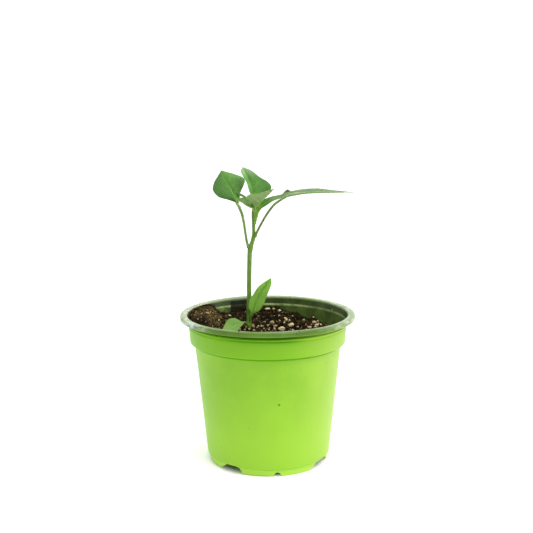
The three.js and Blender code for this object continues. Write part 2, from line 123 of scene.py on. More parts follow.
def build(name, co, faces, materials, slots=None, uv=None, values=None, sharp=None):
    """A mesh object from points in mm. faces is a list of (n, 3) or (n, 4) arrays; values maps names to one number a point."""
    co = np.asarray(co, float)
    me = bpy.data.meshes.new(name)
    me.vertices.add(len(co))
    me.vertices.foreach_set("co", (co * MM).astype(np.float32).ravel())
    loops = np.concatenate([f.ravel() for f in faces]).astype(np.int32)
    counts = np.concatenate([np.full(len(f), f.shape[1]) for f in faces])
    starts = np.concatenate([[0], np.cumsum(counts)[:-1]]).astype(np.int32)
    me.loops.add(len(loops))
    me.loops.foreach_set("vertex_index", loops)
    me.polygons.add(len(counts))
    me.polygons.foreach_set("loop_start", starts)
    for m in materials:
        me.materials.append(m)
    if slots is not None:
        me.polygons.foreach_set("material_index", np.asarray(slots, np.int32))
    me.update(calc_edges=True)
    me.polygons.foreach_set("use_smooth", np.ones(len(counts), bool))
    if uv is not None:
        layer = me.uv_layers.new(name="leaf_uv")
        layer.data.foreach_set("uv", np.asarray(uv, np.float32)[loops].ravel())
    for key, v in (values or {}).items():
        a = me.attributes.new(key, "FLOAT", "POINT")
        a.data.foreach_set("value", np.asarray(v, np.float32))
    if sharp:
        me.set_sharp_from_angle(angle=math.radians(sharp))
    me.validate()
    ob = bpy.data.objects.new(name, me)
    bpy.context.scene.collection.objects.link(ob)
    return ob


def grid_faces(rows, cols, wrap=False, flip=False, base=0):
    """Quads of a rows x cols point grid; wrap closes each row on itself."""
    i = np.arange(rows - 1)[:, None]
    j = np.arange(cols if wrap else cols - 1)[None, :]
    k = (j + 1) % cols
    a, b, c, d = i * cols + j, i * cols + k, (i + 1) * cols + k, (i + 1) * cols + j
    q = np.stack([a, b, c, d] if not flip else [d, c, b, a], -1).reshape(-1, 4)
    return q + base


def frames(P):
    """Tangents and two side directions along a line of points, turned as little as possible."""
    T = unit(np.gradient(P, axis=0))
    N = np.zeros_like(P)
    ref = np.array([1.0, 0, 0]) if abs(T[0][0]) < 0.8 else np.array([0, 1.0, 0])
    N[0] = unit(ref - T[0] * (ref @ T[0]))
    for k in range(1, len(P)):
        v = N[k - 1] - T[k] * (N[k - 1] @ T[k])
        N[k] = unit(v)
    return T, N, np.cross(T, N)


def tube(P, radius, sides, shape=None, base=0):
    """A closed round bar. shape(angle, row) scales the radius. Gives points, faces and the row number of each point."""
    n = len(P)
    T, N, B = frames(P)
    a = np.linspace(0, 2 * np.pi, sides, endpoint=False)
    r = np.asarray(radius, float)[:, None] * np.ones((n, sides))
    if shape is not None:
        r = r * shape(a[None, :], np.arange(n)[:, None])
    ring = P[:, None, :] + N[:, None, :] * (np.cos(a)[None, :] * r)[..., None] + B[:, None, :] * (np.sin(a)[None, :] * r)[..., None]
    co = np.vstack([ring.reshape(-1, 3), P[0] - T[0] * radius[0] * 0.25, P[-1] + T[-1] * radius[-1] * 0.5])
    j = np.arange(sides)
    k = (j + 1) % sides
    low = np.stack([k, j, np.full(sides, n * sides)], -1)
    top = np.stack([(n - 1) * sides + j, (n - 1) * sides + k, np.full(sides, n * sides + 1)], -1)
    row = np.concatenate([np.repeat(np.arange(n), sides), [0, n - 1]])
    return co, [grid_faces(n, sides, wrap=True) + base, low + base, top + base], row


def icosphere(level):
    bm = bmesh.new()
    bmesh.ops.create_icosphere(bm, subdivisions=level, radius=1.0)
    co = np.array([v.co[:] for v in bm.verts])
    fa = np.array([[v.index for v in f.verts] for f in bm.faces])
    bm.free()
    return co, fa


def rotations(rng, n):
    """n random rotation matrices."""
    q = unit(rng.normal(size=(n, 4)))
    w, x, y, z = q.T
    return np.stack([
        np.stack([1 - 2 * (y * y + z * z), 2 * (x * y - z * w), 2 * (x * z + y * w)], -1),
        np.stack([2 * (x * y + z * w), 1 - 2 * (x * x + z * z), 2 * (y * z - x * w)], -1),
        np.stack([2 * (x * z - y * w), 2 * (y * z + x * w), 1 - 2 * (x * x + y * y)], -1)], -2)


# ------------------------------------------------------------------ materials

def colour(r, g, b):
    """A colour given in 0-255 display values, as linear light."""
    f = lambda c: (c / 255 / 12.92) if c / 255 <= 0.04045 else ((c / 255 + 0.055) / 1.055) ** 2.4
    return (f(r), f(g), f(b), 1.0)


class Finish:
    """A node material round one Principled shader. Positions are in mm."""

    def __init__(self, name, **sockets):
        self.m = bpy.data.materials.new(name)
        self.m.use_nodes = True
        self.t = self.m.node_tree
        self.t.nodes.clear()
        out = self.t.nodes.new("ShaderNodeOutputMaterial")
        self.b = self.t.nodes.new("ShaderNodeBsdfPrincipled")
        self.t.links.new(self.b.outputs["BSDF"], out.inputs["Surface"])
        for k, v in sockets.items():
            self.b.inputs[k.replace("_", " ")].default_value = v
        tc = self.t.nodes.new("ShaderNodeTexCoord")
        sc = self.t.nodes.new("ShaderNodeVectorMath")
        sc.operation = "SCALE"
        sc.inputs["Scale"].default_value = 1000.0
        self.t.links.new(tc.outputs["Object"], sc.inputs[0])
        self.mm = sc.outputs["Vector"]
        self.uv = tc.outputs["UV"]

    def put(self, socket, value):
        if isinstance(value, bpy.types.NodeSocket):
            self.t.links.new(value, socket)
        else:
            socket.default_value = value

    def set(self, name, value):
        self.put(self.b.inputs[name], value)

    def math(self, op, a, b=None, c=None, clamp=False):
        n = self.t.nodes.new("ShaderNodeMath")
        n.operation = op
        n.use_clamp = clamp
        for i, v in enumerate((a, b, c)):
            if v is not None:
                self.put(n.inputs[i], v)
        return n.outputs[0]

    def noise(self, scale, detail=3.0, rough=0.55, stretch=(1, 1, 1), shift=(0, 0, 0), warp=0.0, source=None):
        mp = self.t.nodes.new("ShaderNodeMapping")
        mp.inputs["Scale"].default_value = stretch
        mp.inputs["Location"].default_value = shift
        self.t.links.new(source or self.mm, mp.inputs["Vector"])
        n = self.t.nodes.new("ShaderNodeTexNoise")
        n.inputs["Scale"].default_value = scale
        n.inputs["Detail"].default_value = detail
        n.inputs["Roughness"].default_value = rough
        n.inputs["Distortion"].default_value = warp
        self.t.links.new(mp.outputs["Vector"], n.inputs["Vector"])
        return n.outputs["Fac"]

    def cells(self, scale, feature="F1", stretch=(1, 1, 1), shift=(0, 0, 0)):
        mp = self.t.nodes.new("ShaderNodeMapping")
        mp.inputs["Scale"].default_value = stretch
        mp.inputs["Location"].default_value = shift
        self.t.links.new(self.mm, mp.inputs["Vector"])
        n = self.t.nodes.new("ShaderNodeTexVoronoi")
        n.feature = feature
        n.inputs["Scale"].default_value = scale
        self.t.links.new(mp.outputs["Vector"], n.inputs["Vector"])
        return n.outputs["Distance"]

    def step(self, value, low, high):
        """0 below low, 1 above high, smooth between."""
        n = self.t.nodes.new("ShaderNodeMapRange")
        n.interpolation_type = "SMOOTHSTEP"
        self.put(n.inputs["Value"], value)
        n.inputs["From Min"].default_value = low
        n.inputs["From Max"].default_value = high
        return n.outputs["Result"]

    def mix(self, fac, a, b, mode="MIX"):
        n = self.t.nodes.new("ShaderNodeMix")
        n.data_type = "RGBA"
        n.blend_type = mode
        n.clamp_factor = True
        self.put(n.inputs[0], fac)
        self.put(n.inputs[6], a)
        self.put(n.inputs[7], b)
        return n.outputs[2]

    def value(self, name):
        n = self.t.nodes.new("ShaderNodeAttribute")
        n.attribute_name = name
        return n.outputs["Fac"]

    def part(self, vector, axis):
        n = self.t.nodes.new("ShaderNodeSeparateXYZ")
        self.t.links.new(vector, n.inputs[0])
        return n.outputs["XYZ".index(axis)]

    def near(self, centre, reach):
        """1 at a point, in mm, falling to 0 at its reach along each axis."""
        mp = self.t.nodes.new("ShaderNodeMapping")
        mp.vector_type = "POINT"
        mp.inputs["Scale"].default_value = [1 / r for r in reach]
        mp.inputs["Location"].default_value = [-c / r for c, r in zip(centre, reach)]
        self.t.links.new(self.mm, mp.inputs["Vector"])
        n = self.t.nodes.new("ShaderNodeVectorMath")
        n.operation = "LENGTH"
        self.t.links.new(mp.outputs["Vector"], n.inputs[0])
        return self.step(n.outputs["Value"], 1.0, 0.0)

    def bump(self, height, strength, distance=0.0005, below=None):
        n = self.t.nodes.new("ShaderNodeBump")
        n.inputs["Strength"].default_value = strength
        n.inputs["Distance"].default_value = distance
        self.put(n.inputs["Height"], height)
        if below is not None:
            self.t.links.new(below, n.inputs["Normal"])
        self.last = n.outputs["Normal"]
        self.set("Normal", self.last)
        return self.last


def lime_plastic(name="pot_lime_plastic", gloss=0.24):
    f = Finish(name, Specular_IOR_Level=gloss)
    broad = f.noise(0.035, 3, 0.6)
    streak = f.noise(0.05, 4, 0.6, stretch=(1, 1, 0.18), shift=(7, 3, 0))
    c = f.mix(f.step(broad, 0.35, 0.68), colour(128, 180, 37), colour(137, 189, 41))
    c = f.mix(f.math("MULTIPLY", f.step(streak, 0.45, 0.75), 0.30), c, colour(145, 195, 48))
    x, y, z = (f.part(f.mm, k) for k in "XYZ")
    r = f.math("SQRT", f.math("ADD", f.math("MULTIPLY", x, x), f.math("MULTIPLY", y, y)))
    # painted light: paler towards the foot and palest on its lowest band, standing in for light thrown up from the
    # floor
    c = f.mix(f.math("MULTIPLY", f.step(z, 66.0, 6.0), 0.85), c, colour(155, 206, 51))
    c = f.mix(f.math("MULTIPLY", f.step(z, 4.3, 3.9), 0.9), c, colour(178, 226, 78))
    # painted shade: a darker line in the groove at the foot's step
    groove = f.math("MULTIPLY", f.step(z, 5.1, 4.8), f.step(z, 4.1, 4.3))
    c = f.mix(f.math("MULTIPLY", groove, 0.6), c, colour(132, 186, 40))
    # painted shade: darker and deeper green round the collar, under the lip's overhang
    c = f.mix(f.math("MULTIPLY", f.math("MULTIPLY", f.step(z, 77.4, 79.4), f.step(r, 58.5, 56.0)), 0.85), c, colour(117, 175, 8))
    # painted shade in the neck under the lip and in the crease under its step, where the lip and the bead shade the
    # wall
    neck = f.math("MULTIPLY", f.math("MULTIPLY", f.step(z, 91.95, 92.35), f.step(z, 98.6, 97.6)), f.step(r, 56.9, 56.2))
    c = f.mix(f.math("MULTIPLY", neck, 0.95), c, colour(33, 88, 3))
    crease = f.math("MULTIPLY", f.math("MULTIPLY", f.step(z, 89.3, 90.3), f.step(z, 91.35, 91.05)), f.step(r, 56.0, 54.0))
    front = f.math("MULTIPLY", f.step(x, 26.0, 12.0), f.math("ADD", f.math("MULTIPLY", f.step(x, -34.0, -14.0), 0.6), 0.4))
    c = f.mix(f.math("MULTIPLY", f.math("MULTIPLY", crease, 0.95), front), c, colour(46, 112, 0))
    # painted shade fading out below the crease
    tail = f.math("MULTIPLY", f.math("MULTIPLY", f.step(z, 86.2, 90.2), f.step(z, 91.2, 90.9)), f.step(r, 56.0, 54.0))
    c = f.mix(f.math("MULTIPLY", f.math("MULTIPLY", tail, 0.40), front), c, colour(92, 164, 14))
    # painted shade on the underside of the collar's step, which faces down
    under = f.math("MULTIPLY", f.math("MULTIPLY", f.step(z, 77.45, 77.65), f.step(z, 79.45, 79.15)), f.step(r, 47.6, 48.2))
    c = f.mix(f.math("MULTIPLY", under, 0.95), c, colour(80, 146, 4))
    # painted light: paler and yellower along the +X side, which faces the key lamp
    c = f.mix(f.math("MULTIPLY", f.step(x, 6.0, 50.0), f.math("SUBTRACT", 0.62, f.math("MULTIPLY", under, 0.5))), c, colour(156, 185, 68))
    # painted contact shadow: a brown line along the bottom of the foot on the -X side
    c = f.mix(f.math("MULTIPLY", f.math("MULTIPLY", f.step(z, 1.0, 0.3), f.step(x, 6.0, -6.0)), 0.55), c, colour(120, 112, 40))
    # a film of dust and a few splashes of dried mix, most of them under the lip and round the foot
    dust = f.step(f.noise(0.55, 5, 0.7, shift=(2, 9, 4)), 0.60, 0.74)
    where = f.math("MAXIMUM", f.step(z, 9.0, 1.0), f.step(z, 84.0, 93.0))
    c = f.mix(f.math("MULTIPLY", f.math("MULTIPLY", dust, f.math("ADD", f.math("MULTIPLY", where, 0.22), 0.03)), 1.0), c, colour(120, 132, 60))
    speck = f.step(f.cells(0.16, shift=(3, 1, 8)), 0.055, 0.03)
    c = f.mix(f.math("MULTIPLY", speck, 0.55), c, colour(70, 80, 34))
    # single specks of mix that dried on
    for spot, reach in (((6.8, -44.6, 48.9), 1.15), ((10.9, -48.6, 83.7), 0.85), ((-30.1, -28.9, 15.9), 0.6),
                        ((25.0, 37.0, 52.0), 0.6), ((-41.0, 18.0, 40.0), 0.55), ((44.0, -12.0, 66.0), 0.5)):
        c = f.mix(f.math("MULTIPLY", f.near(spot, (reach,) * 3), 0.95), c, colour(26, 40, 8))
    f.set("Base Color", c)
    fine = f.noise(1.3, 3, 0.6)
    f.set("Roughness", f.math("ADD", f.math("MULTIPLY", f.noise(0.22, 4, 0.6, shift=(5, 5, 5)), 0.22), 0.33))
    a = f.bump(f.noise(0.06, 2, 0.5, shift=(1, 8, 2)), 0.25, 0.0008)
    b = f.bump(fine, 0.10, 0.0002, below=a)
    scratch = f.step(f.noise(1.0, 2, 0.5, stretch=(0.25, 0.25, 3.2), shift=(0, 4, 1)), 0.66, 0.76)
    f.bump(scratch, 0.08, 0.0002, below=b)
    return f.m


def olive_plastic():
    """The dark inner layer: scuffed on the lip, with painted sheen and highlights there and on the step in the wall;
    filmed with dried mix on the wall inside, which is painted darker as shade and carries a painted plant shadow.
    """
    f = Finish("pot_inner_olive_plastic", Specular_IOR_Level=0.28)
    x, y, z = (f.part(f.mm, k) for k in "XYZ")
    r = f.math("SQRT", f.math("ADD", f.math("MULTIPLY", x, x), f.math("MULTIPLY", y, y)))
    wall = f.math("MULTIPLY", f.step(r, 53.5, 52.6), f.step(z, 97.4, 96.4))
    lip = f.math("SUBTRACT", 1.0, wall)
    c = f.mix(f.step(f.noise(0.05, 3, 0.6), 0.3, 0.7), colour(76, 108, 24), colour(92, 126, 38))
    # the wall inside is painted darker than the lip, as painted shade inside the pot, and mottled by a film of dried
    # mix
    film = f.step(f.noise(0.09, 5, 0.65, shift=(5, 1, 7)), 0.38, 0.68)
    inside = f.mix(film, colour(50, 67, 20), colour(72, 91, 35))
    # paler under the step in the wall, most of all at the right
    low = f.math("MULTIPLY", f.step(z, 93.2, 92.3), f.math("ADD", f.math("MULTIPLY", f.step(x, -6.0, 46.0), 0.75), 0.40))
    inside = f.mix(low, inside, f.mix(film, colour(72, 94, 34), colour(98, 126, 56)))
    c = f.mix(wall, c, inside)
    # painted light: a paler patch of wall between the heap and the painted plant shadow
    patch = f.math("MULTIPLY", f.near((-31.5, 40.5, 90.6), (6.5, 6.5, 4.6)), f.step(f.noise(0.35, 3, 0.6, shift=(6, 6, 2)), 0.30, 0.55))
    c = f.mix(f.math("MULTIPLY", f.math("MULTIPLY", patch, wall), 0.9), c, colour(120, 146, 74))
    # painted highlight along the small upward-facing step in the wall, fading out at its right end, with painted glints
    ledge = f.math("MULTIPLY", wall, f.math("MULTIPLY", f.step(z, 91.75, 92.35), f.step(z, 93.7, 93.0)))
    ledge_light = f.math("ADD", f.math("MULTIPLY", f.step(f.noise(0.30, 4, 0.65, shift=(2, 3, 7)), 0.36, 0.60), 0.62), 0.34)
    ledge_light = f.math("MULTIPLY", ledge_light, f.math("ADD", f.math("MULTIPLY", f.step(x, 33.0, 22.0), 0.55), 0.45))
    c = f.mix(f.math("MULTIPLY", ledge, ledge_light), c, colour(184, 202, 132))
    glint = f.math("MULTIPLY", ledge, f.step(f.noise(0.75, 3, 0.6, shift=(1, 1, 5)), 0.62, 0.72))
    c = f.mix(f.math("MULTIPLY", f.math("MULTIPLY", glint, f.step(x, 31.0, 27.0)), 0.8), c, colour(206, 214, 182))
    # pale grey scuffs along the lip together with painted sheen, thickest at its two sides
    sides = f.math("MULTIPLY", f.math("ABSOLUTE", x), 1 / 57.0)
    scuff_and_sheen = f.step(f.noise(0.16, 5, 0.68, stretch=(1, 1, 2.5)), 0.42, 0.66)
    c = f.mix(f.math("MULTIPLY", f.math("MULTIPLY", f.math("MULTIPLY", scuff_and_sheen, lip), f.step(sides, 0.45, 0.95)), 0.75), c, colour(168, 190, 146))
    # painted sheen on the lip's top, broken up by a rubbed grain, strongest behind and at the sides
    rub_and_sheen = f.math("MULTIPLY", f.step(z, 96.8, 97.5), lip)
    behind = f.math("MAXIMUM", f.step(y, -46.0, -20.0), f.step(sides, 0.55, 0.9))
    grain = f.step(f.noise(0.9, 4, 0.7, shift=(9, 2, 2)), 0.50, 0.72)
    c = f.mix(f.math("MULTIPLY", f.math("MULTIPLY", rub_and_sheen, f.math("ADD", f.math("MULTIPLY", grain, 0.35), 0.22)),
                     f.math("ADD", f.math("MULTIPLY", behind, 0.92), 0.08)), c, colour(166, 188, 140))
    # painted sheen: palest on the lip's top at the back, and grey-white at the left with a little at the right, broken
    # by a grain
    back = f.math("MULTIPLY", f.math("MULTIPLY", f.step(y, 14.0, 36.0), f.step(r, 52.4, 53.0)), f.step(z, 95.9, 96.8))
    c = f.mix(f.math("MULTIPLY", back, f.math("ADD", f.math("MULTIPLY", grain, 0.35), 0.34)), c, colour(206, 216, 182))
    grey = f.math("MULTIPLY", f.math("MULTIPLY", f.step(x, -34.0, -50.0), lip), f.math("ADD", f.math("MULTIPLY", scuff_and_sheen, 0.40), 0.22))
    c = f.mix(grey, c, colour(214, 218, 202))
    grey = f.math("MULTIPLY", f.math("MULTIPLY", f.step(x, 34.0, 52.0), lip), f.math("ADD", f.math("MULTIPLY", scuff_and_sheen, 0.16), 0.22))
    c = f.mix(grey, c, colour(206, 212, 192))
    # a painted white highlight along the lip's inner edge, all round the front
    edge = f.math("MULTIPLY", f.math("MULTIPLY", f.step(r, 52.7, 53.2), f.step(r, 54.3, 53.7)), f.math("ADD", f.math("MULTIPLY", f.step(f.noise(0.4, 3, 0.6, shift=(8, 8, 1)), 0.35, 0.6), 0.5), 0.5))
    edge = f.math("MULTIPLY", edge, f.math("MULTIPLY", f.step(y, -2.0, -16.0), f.step(z, 96.6, 97.2)))
    c = f.mix(f.math("MULTIPLY", edge, 0.80), c, colour(206, 218, 178))
    smudge = f.math("MULTIPLY", f.near((-48.0, -31.6, 96.5), (6.0, 6.0, 2.6)), f.step(f.noise(0.5, 4, 0.7, shift=(1, 6, 2)), 0.36, 0.56))
    c = f.mix(f.math("MULTIPLY", smudge, 0.85), c, colour(176, 204, 214))
    c = f.mix(f.math("MULTIPLY", f.near((-47.2, -33.0, 96.6), (1.5, 1.5, 1.3)), 0.95), c, colour(206, 226, 232))
    # specks: two on the lip and one bright chip's mark on the right wall
    for spot, reach in (((18.7, 51.4, 97.9), 0.9), ((17.1, -54.9, 96.1), 0.6), ((45.45, 22.8, 86.2), 0.8), ((45.1, 25.4, 93.8), 0.8), ((34.0, 40.5, 95.6), 0.6)):
        c = f.mix(f.math("MULTIPLY", f.near(spot, (reach,) * 3), 0.9), c, colour(34, 40, 16))
    # splashed and dried mix on the wall above the soil, and a painted shadow of the plant up the back wall
    rag = f.math("MULTIPLY", f.math("SUBTRACT", f.noise(0.55, 5, 0.7, shift=(4, 4, 1)), 0.5), 1.5)
    dried_mix_and_shadow = f.step(f.math("ADD", f.value("dirt"), rag), 0.42, 0.72)
    edge_l = f.step(f.math("ADD", x, f.math("MULTIPLY", rag, 0.8)), -26.6, -25.9)
    edge_r = f.step(f.math("ADD", x, f.math("MULTIPLY", rag, 2.6)), -12.6, -15.8)
    head = f.step(f.math("ADD", z, f.math("MULTIPLY", rag, 1.2)), 96.6, 95.6)
    painted_plant_shadow = f.math("MULTIPLY", f.math("MULTIPLY", edge_l, edge_r), f.math("MULTIPLY", head, f.math("MULTIPLY", f.step(y, 20.0, 25.0), wall)))
    dried_mix_and_shadow = f.math("MAXIMUM", dried_mix_and_shadow, f.math("MULTIPLY", painted_plant_shadow, 0.96))
    # brown where it is banked against the heap, nearly black elsewhere and in the painted plant shadow
    c = f.mix(f.math("MULTIPLY", dried_mix_and_shadow, 0.96), c, f.mix(f.step(x, -33.0, -38.0), colour(24, 22, 10), colour(92, 82, 48)))
    dab = f.step(f.cells(0.30, shift=(6, 2, 5)), 0.10, 0.055)
    c = f.mix(f.math("MULTIPLY", dab, 0.75), c, colour(38, 33, 21))
    f.set("Base Color", c)
    rough = f.math("ADD", f.math("MULTIPLY", f.noise(0.3, 4, 0.6), 0.16), f.math("ADD", f.math("MULTIPLY", dried_mix_and_shadow, 0.35), 0.22))
    f.set("Roughness", f.math("ADD", rough, f.math("MULTIPLY", wall, 0.22)))
    a = f.bump(f.noise(0.9, 4, 0.6), 0.10, 0.0003)
    f.bump(dried_mix_and_shadow, 0.35, 0.0004, below=a)
    return f.m


def peat(name, lift=0.0):
    f = Finish(name, Specular_IOR_Level=0.05, Roughness=0.96)
    tone = f.value("tone")
    n1 = f.noise(0.35, 6, 0.72)
    n2 = f.noise(2.1, 5, 0.7, shift=(3, 3, 3))
    t = f.math("ADD", tone, f.math("MULTIPLY", f.math("SUBTRACT", n1, 0.5), 0.9))
    c = f.mix(f.step(t, 0.05, 0.50), colour(13, 10, 4), colour(38, 30, 15))
    c = f.mix(f.step(t, 0.45, 0.85), c, colour(88, 74, 44))
    c = f.mix(f.step(t, 0.85, 1.35), c, colour(150, 128, 86))
    c = f.mix(f.math("MULTIPLY", f.step(n2, 0.52, 0.74), 0.45), c, colour(100, 82, 50))
    c = f.mix(f.math("MULTIPLY", f.step(n2, 0.47, 0.28), 0.55), c, colour(12, 9, 4))
    f.set("Base Color", c)
    a = f.bump(n1, 0.7, 0.0012)
    f.bump(n2, 0.8, 0.0005, below=a)
    return f.m


def perlite():
    f = Finish("perlite_and_bark", Specular_IOR_Level=0.25, Roughness=0.9)
    tone = f.value("tone")
    n1 = f.noise(0.55, 5, 0.65)
    t = f.math("ADD", tone, f.math("MULTIPLY", f.math("SUBTRACT", n1, 0.5), 0.8))
    c = f.mix(f.step(t, 0.1, 0.9), colour(186, 160, 106), colour(224, 208, 160))
    stain = f.step(f.noise(0.8, 4, 0.7, shift=(8, 1, 3)), 0.58, 0.76)
    c = f.mix(f.math("MULTIPLY", stain, 0.65), c, colour(120, 92, 58))
    pores = f.step(f.cells(2.6), 0.20, 0.05)
    c = f.mix(f.math("MULTIPLY", pores, 0.45), c, colour(128, 104, 70))
    f.set("Base Color", c)
    a = f.bump(f.cells(2.6), 0.55, 0.0004)
    f.bump(f.noise(3.2, 4, 0.7), 0.5, 0.0003, below=a)
    return f.m


def veins(f, pairs, bend, width):
    """Midrib and side-vein masks from the leaf's own UV: u across, v from base to tip."""
    u, v = f.part(f.uv, "X"), f.part(f.uv, "Y")
    s = f.math("SUBTRACT", f.math("MULTIPLY", u, 2.0), 1.0)
    a = f.math("ABSOLUTE", s)
    main = f.step(a, 0.055, 0.018)
    w = f.math("SUBTRACT", f.math("SUBTRACT", v, f.math("MULTIPLY", a, bend[0])), f.math("MULTIPLY", f.math("MULTIPLY", a, a), bend[1]))
    side = f.math("MULTIPLY", f.math("GREATER_THAN", s, 0.0), 0.38)
    wob = f.math("MULTIPLY", f.math("SUBTRACT", f.noise(0.22, 2, 0.5), 0.5), 0.30)
    ph = f.math("ADD", f.math("ADD", f.math("MULTIPLY", w, float(pairs)), side), wob)
    d = f.math("ABSOLUTE", f.math("SUBTRACT", f.math("FRACT", ph), 0.5))
    ribs = f.math("MULTIPLY", f.step(d, width, width * 0.25), f.step(a, 0.98, 0.55))
    net = f.step(f.cells(0.95, "DISTANCE_TO_EDGE"), 0.085, 0.0)
    return main, ribs, net, a, v, s


def leaf_top(name, dark, mid, light, rib, pairs=6, bend=(0.22, 0.10), zones=(), spots=(), midrib=0.70, gloss=0.42, veined=0.42, shine=0.20):
    """zones are (axis, from, to, amount, tint, mode): axis v runs base to tip, s margin to margin, a midrib to margin."""
    f = Finish(name, Specular_IOR_Level=shine)
    main, ribs, net, a, v, s = veins(f, pairs, bend, 0.075)
    n1 = f.noise(0.12, 4, 0.6)
    c = f.mix(f.step(n1, 0.30, 0.55), dark, mid)
    c = f.mix(f.math("MULTIPLY", f.step(n1, 0.52, 0.78), 0.8), c, light)
    c = f.mix(f.math("MULTIPLY", f.noise(1.4, 4, 0.65, shift=(5, 1, 2)), 0.16), c, dark)
    c = f.mix(f.math("MULTIPLY", net, 0.16), c, light)
    c = f.mix(f.math("MULTIPLY", ribs, veined), c, rib)
    c = f.mix(f.math("MULTIPLY", f.math("MULTIPLY", main, f.step(v, 0.85, 0.35)), midrib), c, rib)
    c = f.mix(f.math("MULTIPLY", f.step(a, 0.93, 1.0), 0.45), c, dark)
    for axis, low, high, amount, tint, mode in zones:
        m = f.step({"v": v, "s": s, "a": a, "z": f.part(f.mm, "Z"), "x": f.part(f.mm, "X")}[axis], low, high)
        c = f.mix(f.math("MULTIPLY", m, amount), c, tint, mode)
    for centre, reach, tint in spots:
        c = f.mix(f.math("MULTIPLY", f.near(centre, reach), 0.92), c, tint)
    f.set("Base Color", c)
    f.set("Roughness", f.math("ADD", f.math("MULTIPLY", f.noise(0.5, 4, 0.6), 0.20), gloss))
    f.b.inputs["Subsurface Weight"].default_value = 0.12
    f.b.inputs["Subsurface Radius"].default_value = (0.5, 1.0, 0.2)
    f.b.inputs["Subsurface Scale"].default_value = 0.0006
    x = f.bump(f.math("ADD", f.math("MULTIPLY", net, -0.5), f.math("MULTIPLY", ribs, -0.8)), 0.35, 0.0002)
    f.bump(f.noise(2.4, 3, 0.6), 0.18, 0.00015, below=x)
    return f.m


def leaf_under(name, dark, mid, rib, pairs=6, bend=(0.22, 0.10), zones=(), spots=()):
    f = Finish(name, Specular_IOR_Level=0.22)
    main, ribs, net, a, v, s = veins(f, pairs, bend, 0.085)
    n1 = f.noise(0.14, 4, 0.6)
    c = f.mix(f.step(n1, 0.32, 0.68), dark, mid)
    c = f.mix(f.math("MULTIPLY", net, 0.22), c, rib)
    c = f.mix(f.math("MULTIPLY", ribs, 0.6), c, rib)
    c = f.mix(f.math("MULTIPLY", main, 0.8), c, rib)
    for axis, low, high, amount, tint, mode in zones:
        c = f.mix(f.math("MULTIPLY", f.step({"v": v, "s": s, "a": a}[axis], low, high), amount), c, tint, mode)
    for centre, reach, tint in spots:
        c = f.mix(f.math("MULTIPLY", f.near(centre, reach), 0.92), c, tint)
    f.set("Base Color", c)
    f.set("Roughness", f.math("ADD", f.math("MULTIPLY", f.noise(0.5, 4, 0.6), 0.2), 0.56))
    f.b.inputs["Subsurface Weight"].default_value = 0.12
    f.b.inputs["Subsurface Radius"].default_value = (0.5, 1.0, 0.2)
    f.b.inputs["Subsurface Scale"].default_value = 0.0006
    f.bump(f.math("ADD", f.math("MULTIPLY", net, 0.5), ribs), 0.4, 0.0002)
    return f.m


def stalk(name, low, mid, high, z0, z1, z2, foot=None, sunny=None):
    f = Finish(name, Specular_IOR_Level=0.35)
    z = f.part(f.mm, "Z")
    c = f.mix(f.step(z, z0, z1), low, mid)
    c = f.mix(f.step(z, z1, z2), c, high)
    lines = f.noise(1.5, 3, 0.6, stretch=(1, 1, 0.07))
    c = f.mix(f.math("MULTIPLY", f.step(lines, 0.50, 0.66), 0.50), c, colour(152, 186, 84))
    c = f.mix(f.math("MULTIPLY", f.step(lines, 0.46, 0.32), 0.42), c, colour(72, 110, 30))
    c = f.mix(f.math("MULTIPLY", f.step(f.noise(0.35, 3, 0.6, shift=(3, 0, 0)), 0.5, 0.75), 0.25), c, colour(96, 132, 52))
    if sunny is not None:
        z_from, z_to, x_from, x_to, bright, shade = sunny
        upper = f.step(z, z_from, z_to)
        side = f.step(f.part(f.mm, "X"), x_from, x_to)
        c = f.mix(f.math("MULTIPLY", upper, 0.75), c, f.mix(side, shade, bright))
    if foot is not None:
        # browned where it stands in the wet mix, with tan flecks
        ring = f.step(f.math("ADD", z, f.math("MULTIPLY", f.noise(0.9, 3, 0.6, shift=(0, 2, 2)), 2.0)), foot[1] + 1.0, foot[0] + 1.0)
        c = f.mix(f.math("MULTIPLY", ring, 0.75), c, colour(92, 92, 36))
        fleck = f.math("MULTIPLY", f.step(f.cells(0.9, shift=(2, 2, 2)), 0.30, 0.18), f.step(z, foot[1] + 1.5, foot[1] - 0.5))
        c = f.mix(f.math("MULTIPLY", fleck, 0.7), c, colour(150, 136, 88))
    f.set("Base Color", c)
    f.set("Roughness", f.math("ADD", f.math("MULTIPLY", f.noise(0.8, 3, 0.6), 0.2), 0.40))
    f.b.inputs["Subsurface Weight"].default_value = 0.15
    f.b.inputs["Subsurface Radius"].default_value = (0.6, 1.0, 0.25)
    f.b.inputs["Subsurface Scale"].default_value = 0.0008
    x = f.bump(lines, 0.3, 0.0003)
    f.bump(f.noise(3.5, 3, 0.6), 0.2, 0.0002, below=x)
    return f.m


# ------------------------------------------------------------------ camera

cam_data = bpy.data.cameras.new("camera")
cam_data.lens = 63.01
cam_data.sensor_width = 36.0
cam_data.clip_start, cam_data.clip_end = 0.01, 50.0
camera = bpy.data.objects.new("camera", cam_data)
camera.location = (-0.00095, -0.600, 0.2273)
camera.rotation_euler = (math.radians(80.64), 0, 0)
bpy.context.scene.collection.objects.link(camera)
bpy.context.scene.camera = camera

# ------------------------------------------------------------------ pot

WALL = 0.8
NOTCH_Z = 5.2
NOTCHES = [(-54, -41, -29, -24.5), (42, 56, 68, 79), (134, 142, 154, 164), (-142, -132, -120, -110)]
ARCHES = [8.9, 106.5, 191, -82]

